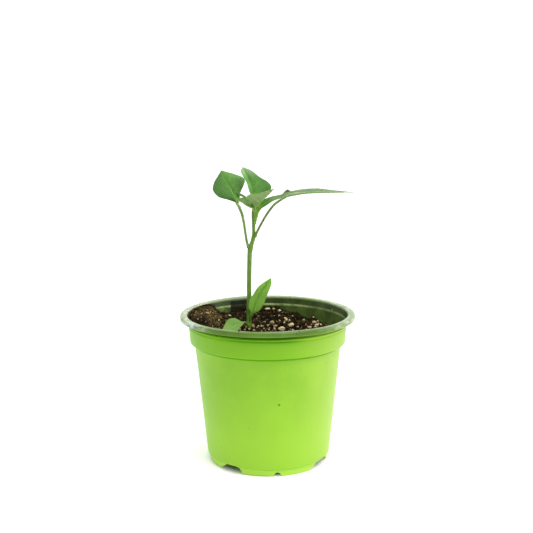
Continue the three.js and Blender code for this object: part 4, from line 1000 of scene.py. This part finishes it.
STEM = [
    [-12.65, 0.6, 80.4, 1.55], [-12.65, 0.3, 85.2, 1.50], [-12.62, 0.1, 90.0, 1.47], [-12.55, 0.0, 96.8, 1.50],
    [-12.38, 0.3, 107.4, 1.50], [-12.32, 0.9, 119.3, 1.48], [-12.1, 1.2, 131.2, 1.50], [-11.7, 1.0, 138.8, 1.56],
    [-10.85, 0.8, 142.4, 1.36], [-9.9, 0.6, 145.4, 1.26], [-9.2, 0.6, 148.7, 1.14], [-9.25, 0.7, 152.9, 1.04],
    [-9.3, 0.8, 157.5, 1.06], [-9.25, 0.8, 161.7, 1.28], [-8.7, 0.7, 165.0, 1.50], [-8.3, 0.6, 167.6, 1.30],
]
LEAVES = {
    "leaf_left": dict(
        stalk=[[-12.7, 0.2, 140.7, 0.84], [-13.8, 0.9, 144.7, 0.80], [-14.7, 2.0, 150.1, 0.78], [-15.7, 3.4, 156.5, 0.82], [-17.0, 4.6, 162.4, 0.88], [-18.1, 5.0, 165.1, 0.95], [-19.0, 5.4, 167.3, 1.02]],
        mid=[[-19.1, 5.4, 167.4], [-20.1, 5.9, 168.9], [-21.1, 7.7, 171.8], [-23.0, 12.3, 174.7], [-25.1, 17.2, 177.9], [-27.3, 22.0, 181.3], [-29.4, 26.7, 184.8], [-31.5, 32.1, 188.9]],
        left=[[-19.1, 5.4, 167.4], [-21.0, 5.4, 169.4], [-26.1, 6.0, 171.7], [-32.9, 8.0, 173.5], [-36.1, 12.5, 176.8], [-35.8, 19.2, 181.5], [-33.7, 25.5, 185.1], [-31.5, 32.1, 188.9]],
        right=[[-19.1, 5.4, 167.4], [-19.1, 6.2, 169.2], [-18.6, 7.4, 171.8], [-18.1, 11.4, 175.1], [-16.1, 17.6, 180.3], [-15.7, 22.9, 183.8], [-22.3, 27.4, 186.6], [-31.5, 32.1, 188.9]]),
    "leaf_right": dict(
        stalk=[[-8.5, -0.4, 148.1, 0.85], [-7.0, -1.0, 151.4, 0.77], [-4.6, -1.7, 156.2, 0.73], [-0.3, -2.6, 163.6, 0.73], [4.2, -3.2, 169.3, 0.75], [7.8, -3.4, 172.0, 0.79]],
        mid=[[8.0, -3.4, 172.2], [11.8, -3.2, 174.4], [17.4, -2.8, 175.7], [24.7, -2.2, 176.6], [33.4, -1.6, 176.9], [43.7, -0.8, 176.9], [55.6, 0.2, 176.7]],
        left=[[8.0, -3.4, 172.2], [10.3, 4.8, 175.1], [14.5, 8.8, 176.4], [22.3, 10.6, 177.3], [30.7, 9.8, 178.4], [43.0, 6.8, 176.9], [55.6, 0.2, 176.7]],
        right=[[8.0, -3.4, 172.2], [9.9, -8.6, 175.2], [15.1, -12.4, 177.4], [22.6, -13.6, 178.6], [32.1, -12.2, 179.0], [43.2, -7.6, 178.0], [55.6, 0.2, 176.7]]),
    "leaf_back": dict(
        stalk=[[-8.4, 1.2, 164.3, 0.62], [-8.8, 1.9, 166.8, 0.60], [-9.2, 2.6, 169.1, 0.62], [-9.6, 3.2, 171.2, 0.66]],
        mid=[[-9.6, 3.3, 171.4], [-9.9, 5.4, 174.3], [-10.7, 8.4, 177.9], [-11.9, 11.4, 181.8], [-13.4, 14.0, 185.5], [-15.1, 16.2, 188.9], [-16.7, 18.2, 192.0]],
        left=[[-9.6, 3.3, 171.4], [-11.0, 2.2, 174.6], [-12.3, 2.8, 178.6], [-14.0, 5.0, 182.5], [-15.6, 8.0, 185.9], [-17.8, 12.2, 189.4], [-16.7, 18.2, 192.0]],
        right=[[-9.6, 3.3, 171.4], [-1.8, 5.2, 175.1], [2.2, 8.2, 179.2], [-0.4, 11.6, 182.7], [-6.0, 14.8, 186.1], [-11.3, 17.2, 189.9], [-16.7, 18.2, 192.0]]),
    "leaf_young_front": dict(
        stalk=[[-8.0, -0.2, 164.4, 0.60], [-8.1, -1.0, 166.1, 0.61], [-7.9, -1.9, 167.7, 0.63]],
        mid=[[-7.9, -2.0, 167.9], [-6.1, -4.2, 169.8], [-3.9, -7.2, 172.2], [-1.8, -10.2, 174.7], [0.2, -12.8, 176.8], [2.1, -14.8, 178.7], [3.9, -16.4, 180.4]],
        left=[[-7.9, -2.0, 167.9], [-8.4, -1.6, 171.8], [-7.4, -3.4, 174.3], [-4.7, -6.4, 176.1], [-1.8, -10.0, 177.8], [1.3, -13.6, 179.3], [3.9, -16.4, 180.4]],
        right=[[-7.9, -2.0, 167.9], [-11.8, -4.6, 171.4], [-14.0, -8.0, 174.1], [-11.5, -11.6, 176.1], [-4.8, -14.2, 177.8], [0.6, -15.8, 179.4], [3.9, -16.4, 180.4]]),
    "leaf_young_right": dict(
        stalk=[[-8.7, 0.4, 156.2, 0.62], [-8.0, 0.4, 159.1, 0.85], [-7.5, 0.6, 161.5, 1.05], [-6.8, 1.0, 164.0, 0.95]],
        mid=[[-6.8, 1.0, 164.0], [-5.0, 1.6, 166.5], [-2.8, 2.6, 168.5], [-0.1, 3.8, 170.1], [2.9, 5.2, 171.5], [6.2, 7.0, 172.5], [9.6, 8.8, 173.8], [12.1, 10.2, 175.7], [12.9, 11.0, 177.9]],
        left=[[-6.8, 1.0, 164.0], [-6.7, 3.6, 168.0], [-4.7, 6.6, 170.7], [-1.3, 9.0, 172.2], [2.4, 10.8, 173.0], [6.2, 11.8, 173.7], [9.4, 12.2, 174.7], [11.1, 11.8, 176.5], [12.9, 11.0, 177.9]],
        right=[[-6.8, 1.0, 164.0], [-4.4, -0.9, 166.1], [-1.8, -2.2, 168.2], [1.0, -2.4, 170.0], [4.1, -1.0, 171.4], [7.1, 2.2, 172.4], [11.3, 6.0, 173.9], [15.2, 9.6, 176.2], [12.9, 11.0, 177.9]]),
    "leaf_young_left": dict(
        stalk=[[-8.8, -0.4, 164.8, 0.55], [-9.6, -1.2, 166.4, 0.55], [-10.8, -1.9, 167.4, 0.55]],
        mid=[[-10.5, -2.0, 167.1], [-12.4, -3.2, 168.2], [-14.3, -4.6, 169.4], [-15.9, -6.0, 170.7], [-17.6, -7.3, 171.7], [-19.1, -8.4, 172.3], [-20.4, -9.3, 173.2]],
        left=[[-10.5, -2.0, 167.1], [-12.0, -3.6, 170.9], [-13.8, -5.8, 172.6], [-15.8, -7.6, 173.4], [-17.4, -8.8, 174.0], [-18.9, -9.4, 174.2], [-20.4, -9.3, 173.2]],
        right=[[-10.5, -2.0, 167.1], [-10.5, -0.4, 171.1], [-12.5, 0.0, 173.0], [-14.8, -1.0, 173.6], [-16.5, -3.0, 173.7], [-18.4, -6.0, 173.6], [-20.4, -9.3, 173.2]]),
    "leaf_young_back": dict(
        stalk=[[-9.3, 1.6, 165.5, 0.50], [-10.3, 2.6, 168.5, 0.48], [-11.8, 3.6, 170.8, 0.48]],
        mid=[[-11.9, 3.7, 171.0], [-13.2, 4.8, 171.9], [-14.8, 6.2, 172.8], [-16.4, 7.6, 173.7], [-18.1, 9.0, 174.4], [-19.9, 10.4, 175.1], [-21.5, 11.8, 176.0]],
        left=[[-11.9, 3.7, 171.0], [-13.3, 3.0, 171.7], [-14.7, 3.2, 172.6], [-16.3, 4.2, 173.3], [-18.1, 6.2, 173.9], [-19.8, 8.8, 174.7], [-21.5, 11.8, 176.0]],
        right=[[-11.9, 3.7, 171.0], [-13.1, 7.2, 172.1], [-15.0, 9.6, 173.3], [-16.9, 11.2, 174.3], [-18.6, 12.2, 175.0], [-20.2, 12.4, 175.5], [-21.5, 11.8, 176.0]]),
    "seed_leaf_right": dict(
        stalk=[[-12.1, -0.5, 90.5, 0.62], [-11.6, -1.6, 93.3, 0.60], [-11.2, -2.4, 95.7, 0.60], [-10.3, -2.9, 97.0, 0.66]],
        mid=[[-10.3, -2.9, 97.3], [-9.4, -2.6, 100.8], [-7.8, -1.6, 105.1], [-5.7, -0.4, 109.3], [-3.3, 0.8, 113.1], [-0.7, 2.2, 116.7], [2.1, 3.6, 120.3]],
        left=[[-10.3, -2.9, 97.3], [-12.5, -3.8, 101.1], [-12.2, -3.6, 105.8], [-10.0, -2.6, 109.7], [-6.8, -1.0, 114.7], [-2.3, 1.0, 118.0], [2.1, 3.6, 120.3]],
        right=[[-10.3, -2.9, 97.3], [-5.6, -3.6, 99.8], [-2.8, -3.2, 104.3], [-0.9, -2.0, 108.7], [0.9, -0.6, 112.9], [2.3, 1.4, 116.9], [2.1, 3.6, 120.3]]),
    "seed_leaf_left": dict(
        stalk=[[-13.4, -0.8, 89.3, 0.72], [-14.0, -2.2, 90.9, 0.66], [-15.1, -3.6, 92.1, 0.66]],
        mid=[[-15.2, -3.7, 92.1], [-17.4, -7.2, 92.4], [-19.8, -11.2, 92.3], [-22.1, -15.6, 91.9], [-24.5, -20.0, 90.9], [-27.0, -24.2, 89.5], [-29.5, -27.6, 87.6]],
        left=[[-15.2, -3.7, 92.1], [-16.2, -8.2, 91.6], [-17.8, -13.6, 91.0], [-19.6, -19.4, 89.6], [-22.3, -24.6, 88.4], [-25.7, -27.8, 87.5], [-29.5, -27.6, 87.6]],
        right=[[-15.2, -3.7, 92.1], [-17.8, -5.2, 93.1], [-21.7, -7.6, 95.6], [-25.8, -11.6, 95.5], [-28.3, -17.4, 92.3], [-29.8, -23.2, 89.5], [-29.5, -27.6, 87.6]]),
}
# blade thickness at the midrib, vein pairs, margin ripple in mm, rows along and across, relief of the side veins
CUT = {
    "leaf_left": (0.40, 6, 0.35, 110, 84, 1.0), "leaf_right": (0.40, 7, 0.30, 130, 84, 1.0), "leaf_back": (0.38, 6, 0.25, 96, 76, 0.9),
    "leaf_young_front": (0.36, 5, 0.20, 84, 64, 0.8), "leaf_young_right": (0.34, 5, 0.20, 84, 60, 0.8),
    "leaf_young_left": (0.32, 5, 0.15, 70, 52, 0.7), "leaf_young_back": (0.30, 5, 0.12, 64, 48, 0.6),
    "seed_leaf_right": (0.50, 4, 0.10, 90, 60, 0.35), "seed_leaf_left": (0.50, 4, 0.10, 90, 60, 0.35),
}


def blade(name):
    """Points of the blade's middle surface on a (t, s) grid, its normals, and the relief of veins and quilting."""
    spec = LEAVES[name]
    thick, pairs, ripple, nt, ns, relief = CUT[name]
    u = np.linspace(0, 1, nt)
    t = 0.006 + 0.986 * (u - 0.10 * np.sin(2 * np.pi * u) / (2 * np.pi) * 2)
    s = np.linspace(-1, 1, ns + 1)
    s = np.sign(s) * (np.abs(s) * 0.75 + 0.25 * (1 - (1 - np.abs(s)) ** 2))
    M, L, Rr = (spline(spec[k], t) for k in ("mid", "left", "right"))
    S, T = np.meshgrid(s, t)
    a = np.abs(S)
    E = np.where((S < 0)[..., None], L[:, None, :], Rr[:, None, :])
    P = M[:, None, :] + (E - M[:, None, :]) * a[..., None]
    du = np.gradient(P, axis=1)
    dv = np.gradient(P, axis=0)
    n = unit(np.cross(du, dv))
    c = slice(3, -3)
    n[:3], n[-3:] = n[3], n[-4]
    half = np.linalg.norm(E - M[:, None, :], axis=-1)
    # soften the fold at the midrib
    mean = unit(n[:, ns // 2 - 4] + n[:, ns // 2 + 4])
    w = np.exp(-(a / 0.16) ** 2)[..., None]
    n = unit(n * (1 - w) + mean[:, None, :] * w)
    dome = 0.28 * half * a * (1 - a)
    ph = (T - 0.22 * a - 0.10 * a * a) * pairs + np.where(S > 0, 0.38, 0.0)
    d = np.abs(ph - np.floor(ph) - 0.5)
    fade = smooth(0.02, 0.14, T) * (1 - smooth(0.80, 0.98, T))
    rib = np.exp(-(d / 0.07) ** 2) * (1 - a ** 3) * smooth(0.02, 0.10, a) * fade
    quilt = np.cos(np.clip(d - 0.25, -0.25, 0.25) * 2 * np.pi) * (1 - a ** 4) * smooth(0.04, 0.2, a) * fade
    soft = fbm(P * 0.16, 3, 77) * 0.22 * (half / 10.0)
    wave = ripple * a ** 3 * np.sin(2 * np.pi * (T * 2.6 + 0.18 * np.where(S > 0, 1, 0)) + pairs) * np.sin(np.pi * np.clip(T, 0, 1))
    mid = P + n * (dome + soft + wave + 0.20 * relief * quilt)[..., None]
    groove = 0.14 * np.exp(-(a * half / 0.55) ** 2) * smooth(0.0, 0.05, T) * (1 - smooth(0.75, 1, T))
    up = -(groove + 0.07 * relief * rib)
    down = 0.09 * relief * rib
    th = 0.5 * thick * (1 - 0.62 * a ** 5) * (0.55 + 0.45 * np.sin(np.pi * np.clip(T, 0, 1)) ** 0.4)
    return T, S, mid, n, th, up, down


def leaf(name, top, under, stem_mat):
    spec = LEAVES[name]
    T, S, mid, n, th, up_, down_ = blade(name)
    nt, ns = T.shape
    A_ = mid + n * (th + up_)[..., None]
    B_ = mid - n * (th + down_)[..., None]
    co = [A_.reshape(-1, 3), B_.reshape(-1, 3)]
    uv = [np.stack([(S + 1) / 2, T], -1).reshape(-1, 2)] * 2
    N_ = nt * ns
    quads = [grid_faces(nt, ns), grid_faces(nt, ns, flip=True, base=N_)]
    slots = [np.zeros(len(quads[0]), int), np.ones(len(quads[1]), int)]
    loop = np.concatenate([np.arange(ns), np.arange(1, nt) * ns + ns - 1, (nt - 1) * ns + np.arange(ns - 2, -1, -1), np.arange(nt - 2, 0, -1) * ns])
    nxt = np.roll(loop, -1)
    quads.append(np.stack([nxt, loop, loop + N_, nxt + N_], -1))
    slots.append(np.zeros(len(loop), int))
    # stalk, carried on as the rib under the blade
    st = spec["stalk"]
    m = ns // 2
    ts = np.linspace(0, 1, 64)
    P = spline(st, ts)
    f = ts * (len(st) - 1)
    rad = np.interp(f, np.arange(len(st)), [p[3] for p in st])
    arc = np.concatenate([[0], np.cumsum(np.linalg.norm(np.diff(P, axis=0), axis=1))])
    rad = rad * (1 + 0.42 * np.exp(-(arc / 1.3) ** 2))
    rows = np.arange(3, int(nt * 0.90), 2)
    under_mid = mid[rows, m] - n[rows, m] * (th[rows, m] + 0.05)[:, None]
    k = (rows - rows[0]) / (rows[-1] - rows[0])
    r_end = rad[-1]
    rr_ = r_end * (1 - k) ** 0.75 * 0.78 + 0.07
    blend_ = np.minimum(1.0, k / 0.12)[:, None]
    under_mid = under_mid * blend_ + (mid[rows, m] - n[rows, m] * 0.12) * (1 - blend_)
    PP = np.vstack([P[:-1], under_mid])
    RR = np.concatenate([rad[:-1], rr_])
    # even the line out where stalk and rib meet
    for _ in range(3):
        z = slice(58, 72)
        PP[z] = (PP[57:71] + PP[z] + PP[59:73]) / 3
        RR[z] = (RR[57:71] + RR[z] + RR[59:73]) / 3
    groove = lambda ang, row: 1 + 0.035 * np.cos(3 * ang + 0.5) + 0.02 * np.cos(7 * ang + row * 0.02)
    c, fa, row = tube(PP, RR, 14, shape=groove, base=2 * N_)
    co.append(c)
    uv.append(np.tile([[0.5, 0.02]], (len(c), 1)))
    quads_t, tris = fa[0], np.concatenate([fa[1], fa[2]])
    slots.append(np.full(len(quads_t), 2))
    slots.append(np.full(len(tris), 2))
    return build(name + "_blade", np.vstack(co), [*quads, quads_t, tris], [top, under, stem_mat],
                 slots=np.concatenate(slots), uv=np.vstack(uv), sharp=60)


STALK = stalk("petiole_green", colour(92, 130, 44), colour(96, 132, 52), colour(120, 154, 74), 90, 140, 172)
STALK_PALE = stalk("petiole_pale", colour(104, 140, 56), colour(120, 150, 72), colour(128, 160, 84), 90, 160, 172)

STALK_DARK = stalk("petiole_dark_green", colour(92, 130, 42), colour(70, 102, 34), colour(96, 130, 60), 146, 158, 178)
STALK_SHOOT = stalk("petiole_shoot", colour(104, 146, 40), colour(112, 156, 44), colour(84, 136, 26), 156, 160, 167)
# SHADE gives a colour multiplier for a leaf zone: painted shade below 1, painted light above 1
SHADE = lambda r, g, b: (r, g, b, 1.0)
SPOT = colour(58, 64, 40)
MATURE_T = leaf_top("leaf_top_mature", colour(72, 122, 40), colour(84, 137, 50), colour(96, 149, 58), colour(124, 174, 74), midrib=0.8,
                    zones=(("s", 0.4, -0.7, 1.0, SHADE(0.44, 0.56, 0.32), "MULTIPLY"),
                           ("v", 0.60, 0.92, 0.8, SHADE(1.34, 1.18, 1.50), "MULTIPLY"),
                           ("a", 0.92, 1.0, 0.45, colour(50, 96, 34), "MIX")))
MATURE_U = leaf_under("leaf_under_mature", colour(118, 152, 94), colour(134, 166, 108), colour(164, 190, 136))
# leaf_back: one side in painted shade, its margin painted darker still as shade on the fold, and on the underside a
# margin strip painted darker as shade
BACK_T = leaf_top("leaf_top_back", colour(74, 130, 46), colour(86, 143, 56), colour(104, 156, 76), colour(134, 176, 100),
                  zones=(("s", -0.1, 0.8, 1.0, SHADE(0.84, 0.80, 0.72), "MULTIPLY"), ("s", 0.50, 0.85, 0.6, colour(58, 108, 38), "MIX"),
                         ("v", 0.60, 0.86, 0.72, colour(144, 174, 122), "MIX")))
BACK_U = leaf_under("leaf_under_back", colour(124, 158, 100), colour(140, 170, 114), colour(168, 192, 140),
                    zones=(("s", -0.55, -0.75, 0.85, colour(88, 140, 62), "MIX"),))
RIGHT_T = leaf_top("leaf_top_right", colour(72, 108, 42), colour(90, 124, 58), colour(108, 138, 76), colour(140, 166, 108), gloss=0.34, shine=0.5,
                   spots=(((42.5, 0.0, 176.6), (0.7, 14.0, 0.6), SPOT), ((52.0, 0.0, 176.0), (0.8, 14.0, 0.6), SPOT)))
RIGHT_U = leaf_under("leaf_under_right", colour(134, 164, 104), colour(156, 182, 128), colour(178, 200, 150), pairs=7,
                     spots=(((42.5, -0.5, 176.6), (0.9, 3.0, 0.9), SPOT), ((52.0, 0.0, 176.2), (1.1, 3.0, 0.9), SPOT)))
YOUNG_T = leaf_top("leaf_top_young", colour(58, 104, 30), colour(76, 124, 40), colour(102, 146, 64), colour(132, 166, 90), pairs=5, veined=0.65)
YOUNG_U = leaf_under("leaf_under_young", colour(102, 137, 68), colour(118, 149, 82), colour(152, 178, 118), pairs=5)
# the young right leaf's tip is painted dark as the shadow of the right leaf over it
SHOOT_T = leaf_top("leaf_top_young_right", colour(90, 121, 60), colour(102, 128, 74), colour(116, 140, 88), colour(132, 156, 102), pairs=5,
                   zones=(("v", 0.62, 0.36, 0.9, colour(58, 119, 8), "MIX"), ("v", 0.24, 0.10, 0.9, colour(122, 160, 44), "MIX"),
                          ("v", 0.83, 0.92, 0.85, colour(72, 98, 50), "MIX")))
SHOOT_U = leaf_under("leaf_under_young_right", colour(70, 122, 22), colour(88, 138, 34), colour(120, 160, 78), pairs=5,
                     zones=(("v", 0.30, 0.12, 0.9, colour(124, 162, 44), "MIX"),))
DARK_T = leaf_top("leaf_top_young_front", colour(88, 124, 54), colour(108, 142, 72), colour(130, 160, 94), colour(162, 186, 126), pairs=5, veined=0.9,
                  zones=(("v", 0.955, 0.985, 0.9, colour(64, 62, 52), "MIX"),))
DARK_U = leaf_under("leaf_under_young_front", colour(108, 142, 74), colour(130, 159, 96), colour(170, 192, 138), pairs=5,
                    zones=(("v", 0.10, 0.45, 0.35, colour(146, 172, 114), "MIX"), ("v", 0.955, 0.985, 0.9, colour(64, 62, 52), "MIX")))
SEED_T = leaf_top("seed_leaf_top", colour(96, 138, 54), colour(111, 150, 66), colour(129, 164, 84), colour(142, 176, 98), pairs=4, bend=(0.3, 0.2), gloss=0.46)
SEED_U = leaf_under("seed_leaf_under", colour(116, 156, 76), colour(130, 168, 90), colour(150, 184, 110), pairs=4, bend=(0.3, 0.2))
TALL_T = leaf_top("seed_leaf_top_right", colour(116, 168, 56), colour(128, 180, 68), colour(143, 190, 86), colour(154, 200, 102), pairs=4, bend=(0.3, 0.2), gloss=0.46,
                  zones=(("v", 0.45, 0.05, 0.7, colour(142, 196, 78), "MIX"),))
TALL_U = leaf_under("seed_leaf_under_right", colour(126, 176, 76), colour(140, 186, 88), colour(154, 196, 106), pairs=4, bend=(0.3, 0.2))

leaves = {
    "leaf_left": leaf("leaf_left", MATURE_T, MATURE_U, STALK),
    "leaf_right": leaf("leaf_right", RIGHT_T, RIGHT_U, STALK_DARK),
    "leaf_back": leaf("leaf_back", BACK_T, BACK_U, STALK_PALE),
    "leaf_young_front": leaf("leaf_young_front", DARK_T, DARK_U, STALK_PALE),
    "leaf_young_right": leaf("leaf_young_right", SHOOT_T, SHOOT_U, STALK_SHOOT),
    "leaf_young_left": leaf("leaf_young_left", YOUNG_T, YOUNG_U, STALK_PALE),
    "leaf_young_back": leaf("leaf_young_back", YOUNG_T, YOUNG_U, STALK_PALE),
    "seed_leaf_right": leaf("seed_leaf_right", TALL_T, TALL_U, STALK),
    "seed_leaf_left": leaf("seed_leaf_left", SEED_T, SEED_U, STALK),
}

# stem, with swellings where leaves leave it, buds in their axils and the folded tip
ts = np.linspace(0, 1, 220)
P = spline(STEM, ts)
rad = np.interp(ts * (len(STEM) - 1), np.arange(len(STEM)), [p[3] for p in STEM])
for z, amount, reach in ((90.0, 0.14, 2.2), (140.6, 0.16, 1.8), (147.8, 0.16, 1.6), (164.2, 0.10, 2.0)):
    rad = rad * (1 + amount * np.exp(-((P[:, 2] - z) / reach) ** 2))
ridge = lambda ang, row: 1 + 0.030 * np.cos(5 * ang + 0.012 * row) + 0.012 * np.cos(11 * ang - 0.02 * row)
c, fa, row = tube(P, rad, 28, shape=ridge)
stem_co, stem_quads, stem_tris = [c], [fa[0]], [fa[1], fa[2]]
count = len(c)


def folded(base_point, direction, length, width, seed):
    """A closed bud scale or folded leaflet: a pointed, slightly curved bar."""
    t = np.linspace(0, 1, 16)
    d = unit(np.array(direction, float))
    side = unit(np.cross(d, [0.3, 0.9, 0.2]))
    Q = np.array(base_point) + d * (t * length)[:, None] + side * (0.16 * length * np.sin(t * 2.4 + seed))[:, None]
    r = width * np.sin(np.pi * np.clip(t * 0.86 + 0.14, 0, 1)) ** 0.8 + 0.05
    return tube(Q, r, 12, shape=lambda a_, r_: 1 + 0.35 * np.cos(2 * a_ + seed), base=count)


for spec in (
    ((-11.5, 0.2, 141.6), (0.35, -0.5, 0.8), 1.5, 0.42, 1), ((-9.7, -0.2, 149.6), (0.35, -0.6, 1.0), 1.9, 0.44, 2),
    ((-8.4, 0.6, 166.6), (0.1, -0.2, 1.0), 3.4, 0.62, 3), ((-9.2, 0.0, 166.2), (-0.5, -0.35, 1.0), 3.2, 0.55, 4),
    ((-7.6, 0.2, 166.2), (0.5, -0.35, 1.0), 2.8, 0.52, 5), ((-8.6, 1.2, 166.4), (-0.15, 0.5, 1.0), 3.0, 0.50, 6),
    ((-8.9, -0.6, 165.8), (-0.1, -0.7, 0.9), 2.2, 0.46, 7), ((-8.9, -0.9, 166.4), (-0.42, -0.55, 0.9), 4.2, 0.60, 8),
    ((-8.1, 0.0, 164.6), (0.42, -0.12, 1.0), 3.4, 0.62, 9), ((-7.7, 0.6, 166.0), (0.55, 0.1, 0.9), 3.0, 0.50, 10),
):
    c, fa, row = folded(*spec)
    stem_co.append(c)
    stem_quads.append(fa[0])
    stem_tris += [fa[1], fa[2]]
    count += len(c)
STEM_MAT = stalk("stem_green", colour(108, 150, 46), colour(96, 134, 50), colour(98, 138, 36), 92, 126, 160, foot=(87.2, 90.6),
                 sunny=(148, 157, -9.7, -8.3, colour(116, 152, 24), colour(66, 100, 28)))
stem = build("main_stem", np.vstack(stem_co), [*stem_quads, *stem_tris], [STEM_MAT])

# ------------------------------------------------------------------ what stands for what

for ob, nodes, slot in [(pot, ["pot"], "pot_plastic"), (soil, ["potting_mix"], "potting_mix"), (stem, ["stem"], "stem")]:
    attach(ob, "root")
    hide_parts(*nodes)
for ob, slot in [(crumbs, "potting_mix"), (fibres, "potting_mix"), (stuck, "potting_mix"), (grit, "perlite")]:
    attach(ob, "root")
for ob, node in grains:
    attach(ob, "root")
    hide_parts(node)
for node, ob in leaves.items():
    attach(ob, "root")
    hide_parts(node)

# ------------------------------------------------------------------ floor and light

floor_mesh = bpy.data.meshes.new("floor")
floor_mesh.from_pydata([(-8, -8, 0), (8, -8, 0), (8, 8, 0), (-8, 8, 0)], [], [(0, 1, 2, 3)])
floor = bpy.data.objects.new("floor", floor_mesh)
bpy.context.scene.collection.objects.link(floor)
fm = bpy.data.materials.new("floor_white")
fm.use_nodes = True
fb = fm.node_tree.nodes["Principled BSDF"]
fb.inputs["Base Color"].default_value = (0.86, 0.86, 0.86, 1)
fb.inputs["Roughness"].default_value = 0.9
fb.inputs["Specular IOR Level"].default_value = 0.0
fb.inputs["Emission Color"].default_value = (1, 1, 1, 1)
# no glow under the pot, an even one round it, and a little more far out so that the floor runs into the backdrop
ft = fm.node_tree
fc = ft.nodes.new("ShaderNodeTexCoord")
fl = ft.nodes.new("ShaderNodeVectorMath")
fl.operation = "LENGTH"
ft.links.new(fc.outputs["Object"], fl.inputs[0])
glow = []
for low, high, amount in ((0.032, 0.044, 0.45), (0.5, 2.5, 0.17)):
    n = ft.nodes.new("ShaderNodeMapRange")
    n.interpolation_type = "SMOOTHSTEP"
    n.inputs["From Min"].default_value = low
    n.inputs["From Max"].default_value = high
    n.inputs["To Max"].default_value = amount
    ft.links.new(fl.outputs["Value"], n.inputs["Value"])
    glow.append(n.outputs["Result"])
fs = ft.nodes.new("ShaderNodeMath")
fs.operation = "ADD"
ft.links.new(glow[0], fs.inputs[0])
ft.links.new(glow[1], fs.inputs[1])
ft.links.new(fs.outputs[0], fb.inputs["Emission Strength"])
floor_mesh.materials.append(fm)

world = bpy.data.worlds.new("studio")
bpy.context.scene.world = world
world.use_nodes = True
wt = world.node_tree
bg = wt.nodes["Background"]
bg.inputs["Color"].default_value = (1, 1, 1, 1)
lp = wt.nodes.new("ShaderNodeLightPath")
tc = wt.nodes.new("ShaderNodeTexCoord")
sp = wt.nodes.new("ShaderNodeSeparateXYZ")
wt.links.new(tc.outputs["Generated"], sp.inputs[0])


def wmath(op, a, b):
    n = wt.nodes.new("ShaderNodeMath")
    n.operation = op
    for i, v in enumerate((a, b)):
        if isinstance(v, bpy.types.NodeSocket):
            wt.links.new(v, n.inputs[i])
        else:
            n.inputs[i].default_value = v
    return n.outputs[0]


# a bright sweep behind the object, a little more to its right and over it, and a darker room in front
level = wmath("ADD", 0.62, wmath("MULTIPLY", sp.outputs[0], 0.16))
level = wmath("ADD", level, wmath("MULTIPLY", sp.outputs[1], 0.34))
level = wmath("ADD", level, wmath("MULTIPLY", sp.outputs[2], 0.08))
mixer = wt.nodes.new("ShaderNodeMix")
mixer.data_type = "FLOAT"
wt.links.new(lp.outputs["Is Camera Ray"], mixer.inputs[0])
wt.links.new(level, mixer.inputs[2])
mixer.inputs[3].default_value = 1.05
wt.links.new(mixer.outputs[0], bg.inputs["Strength"])


def area(name, place, size, power, tint=(1, 1, 1)):
    d = bpy.data.lights.new(name, "AREA")
    d.shape = "DISK"
    d.size = size
    d.energy = power
    d.color = tint
    o = bpy.data.objects.new(name, d)
    o.location = place
    v = np.array([0, 0, 0.09]) - np.array(place)
    from mathutils import Vector
    o.rotation_mode = "QUATERNION"
    o.rotation_quaternion = Vector(v).to_track_quat("-Z", "Y")
    bpy.context.scene.collection.objects.link(o)
    return o


area("key", (0.62, -0.80, 1.35), 0.8, 12.0, (1.0, 0.99, 0.97))
area("top", (0.05, 0.10, 1.25), 0.8, 6.0)
area("rim_right", (1.1, 0.15, 0.40), 0.7, 3.6)
area("rim_left", (-1.1, 0.10, 0.45), 0.7, 1.2)

scene = bpy.context.scene
scene.view_settings.view_transform = "Standard"
scene.view_settings.look = "None"
scene.view_settings.exposure = 0.0
scene.view_settings.gamma = 1.0
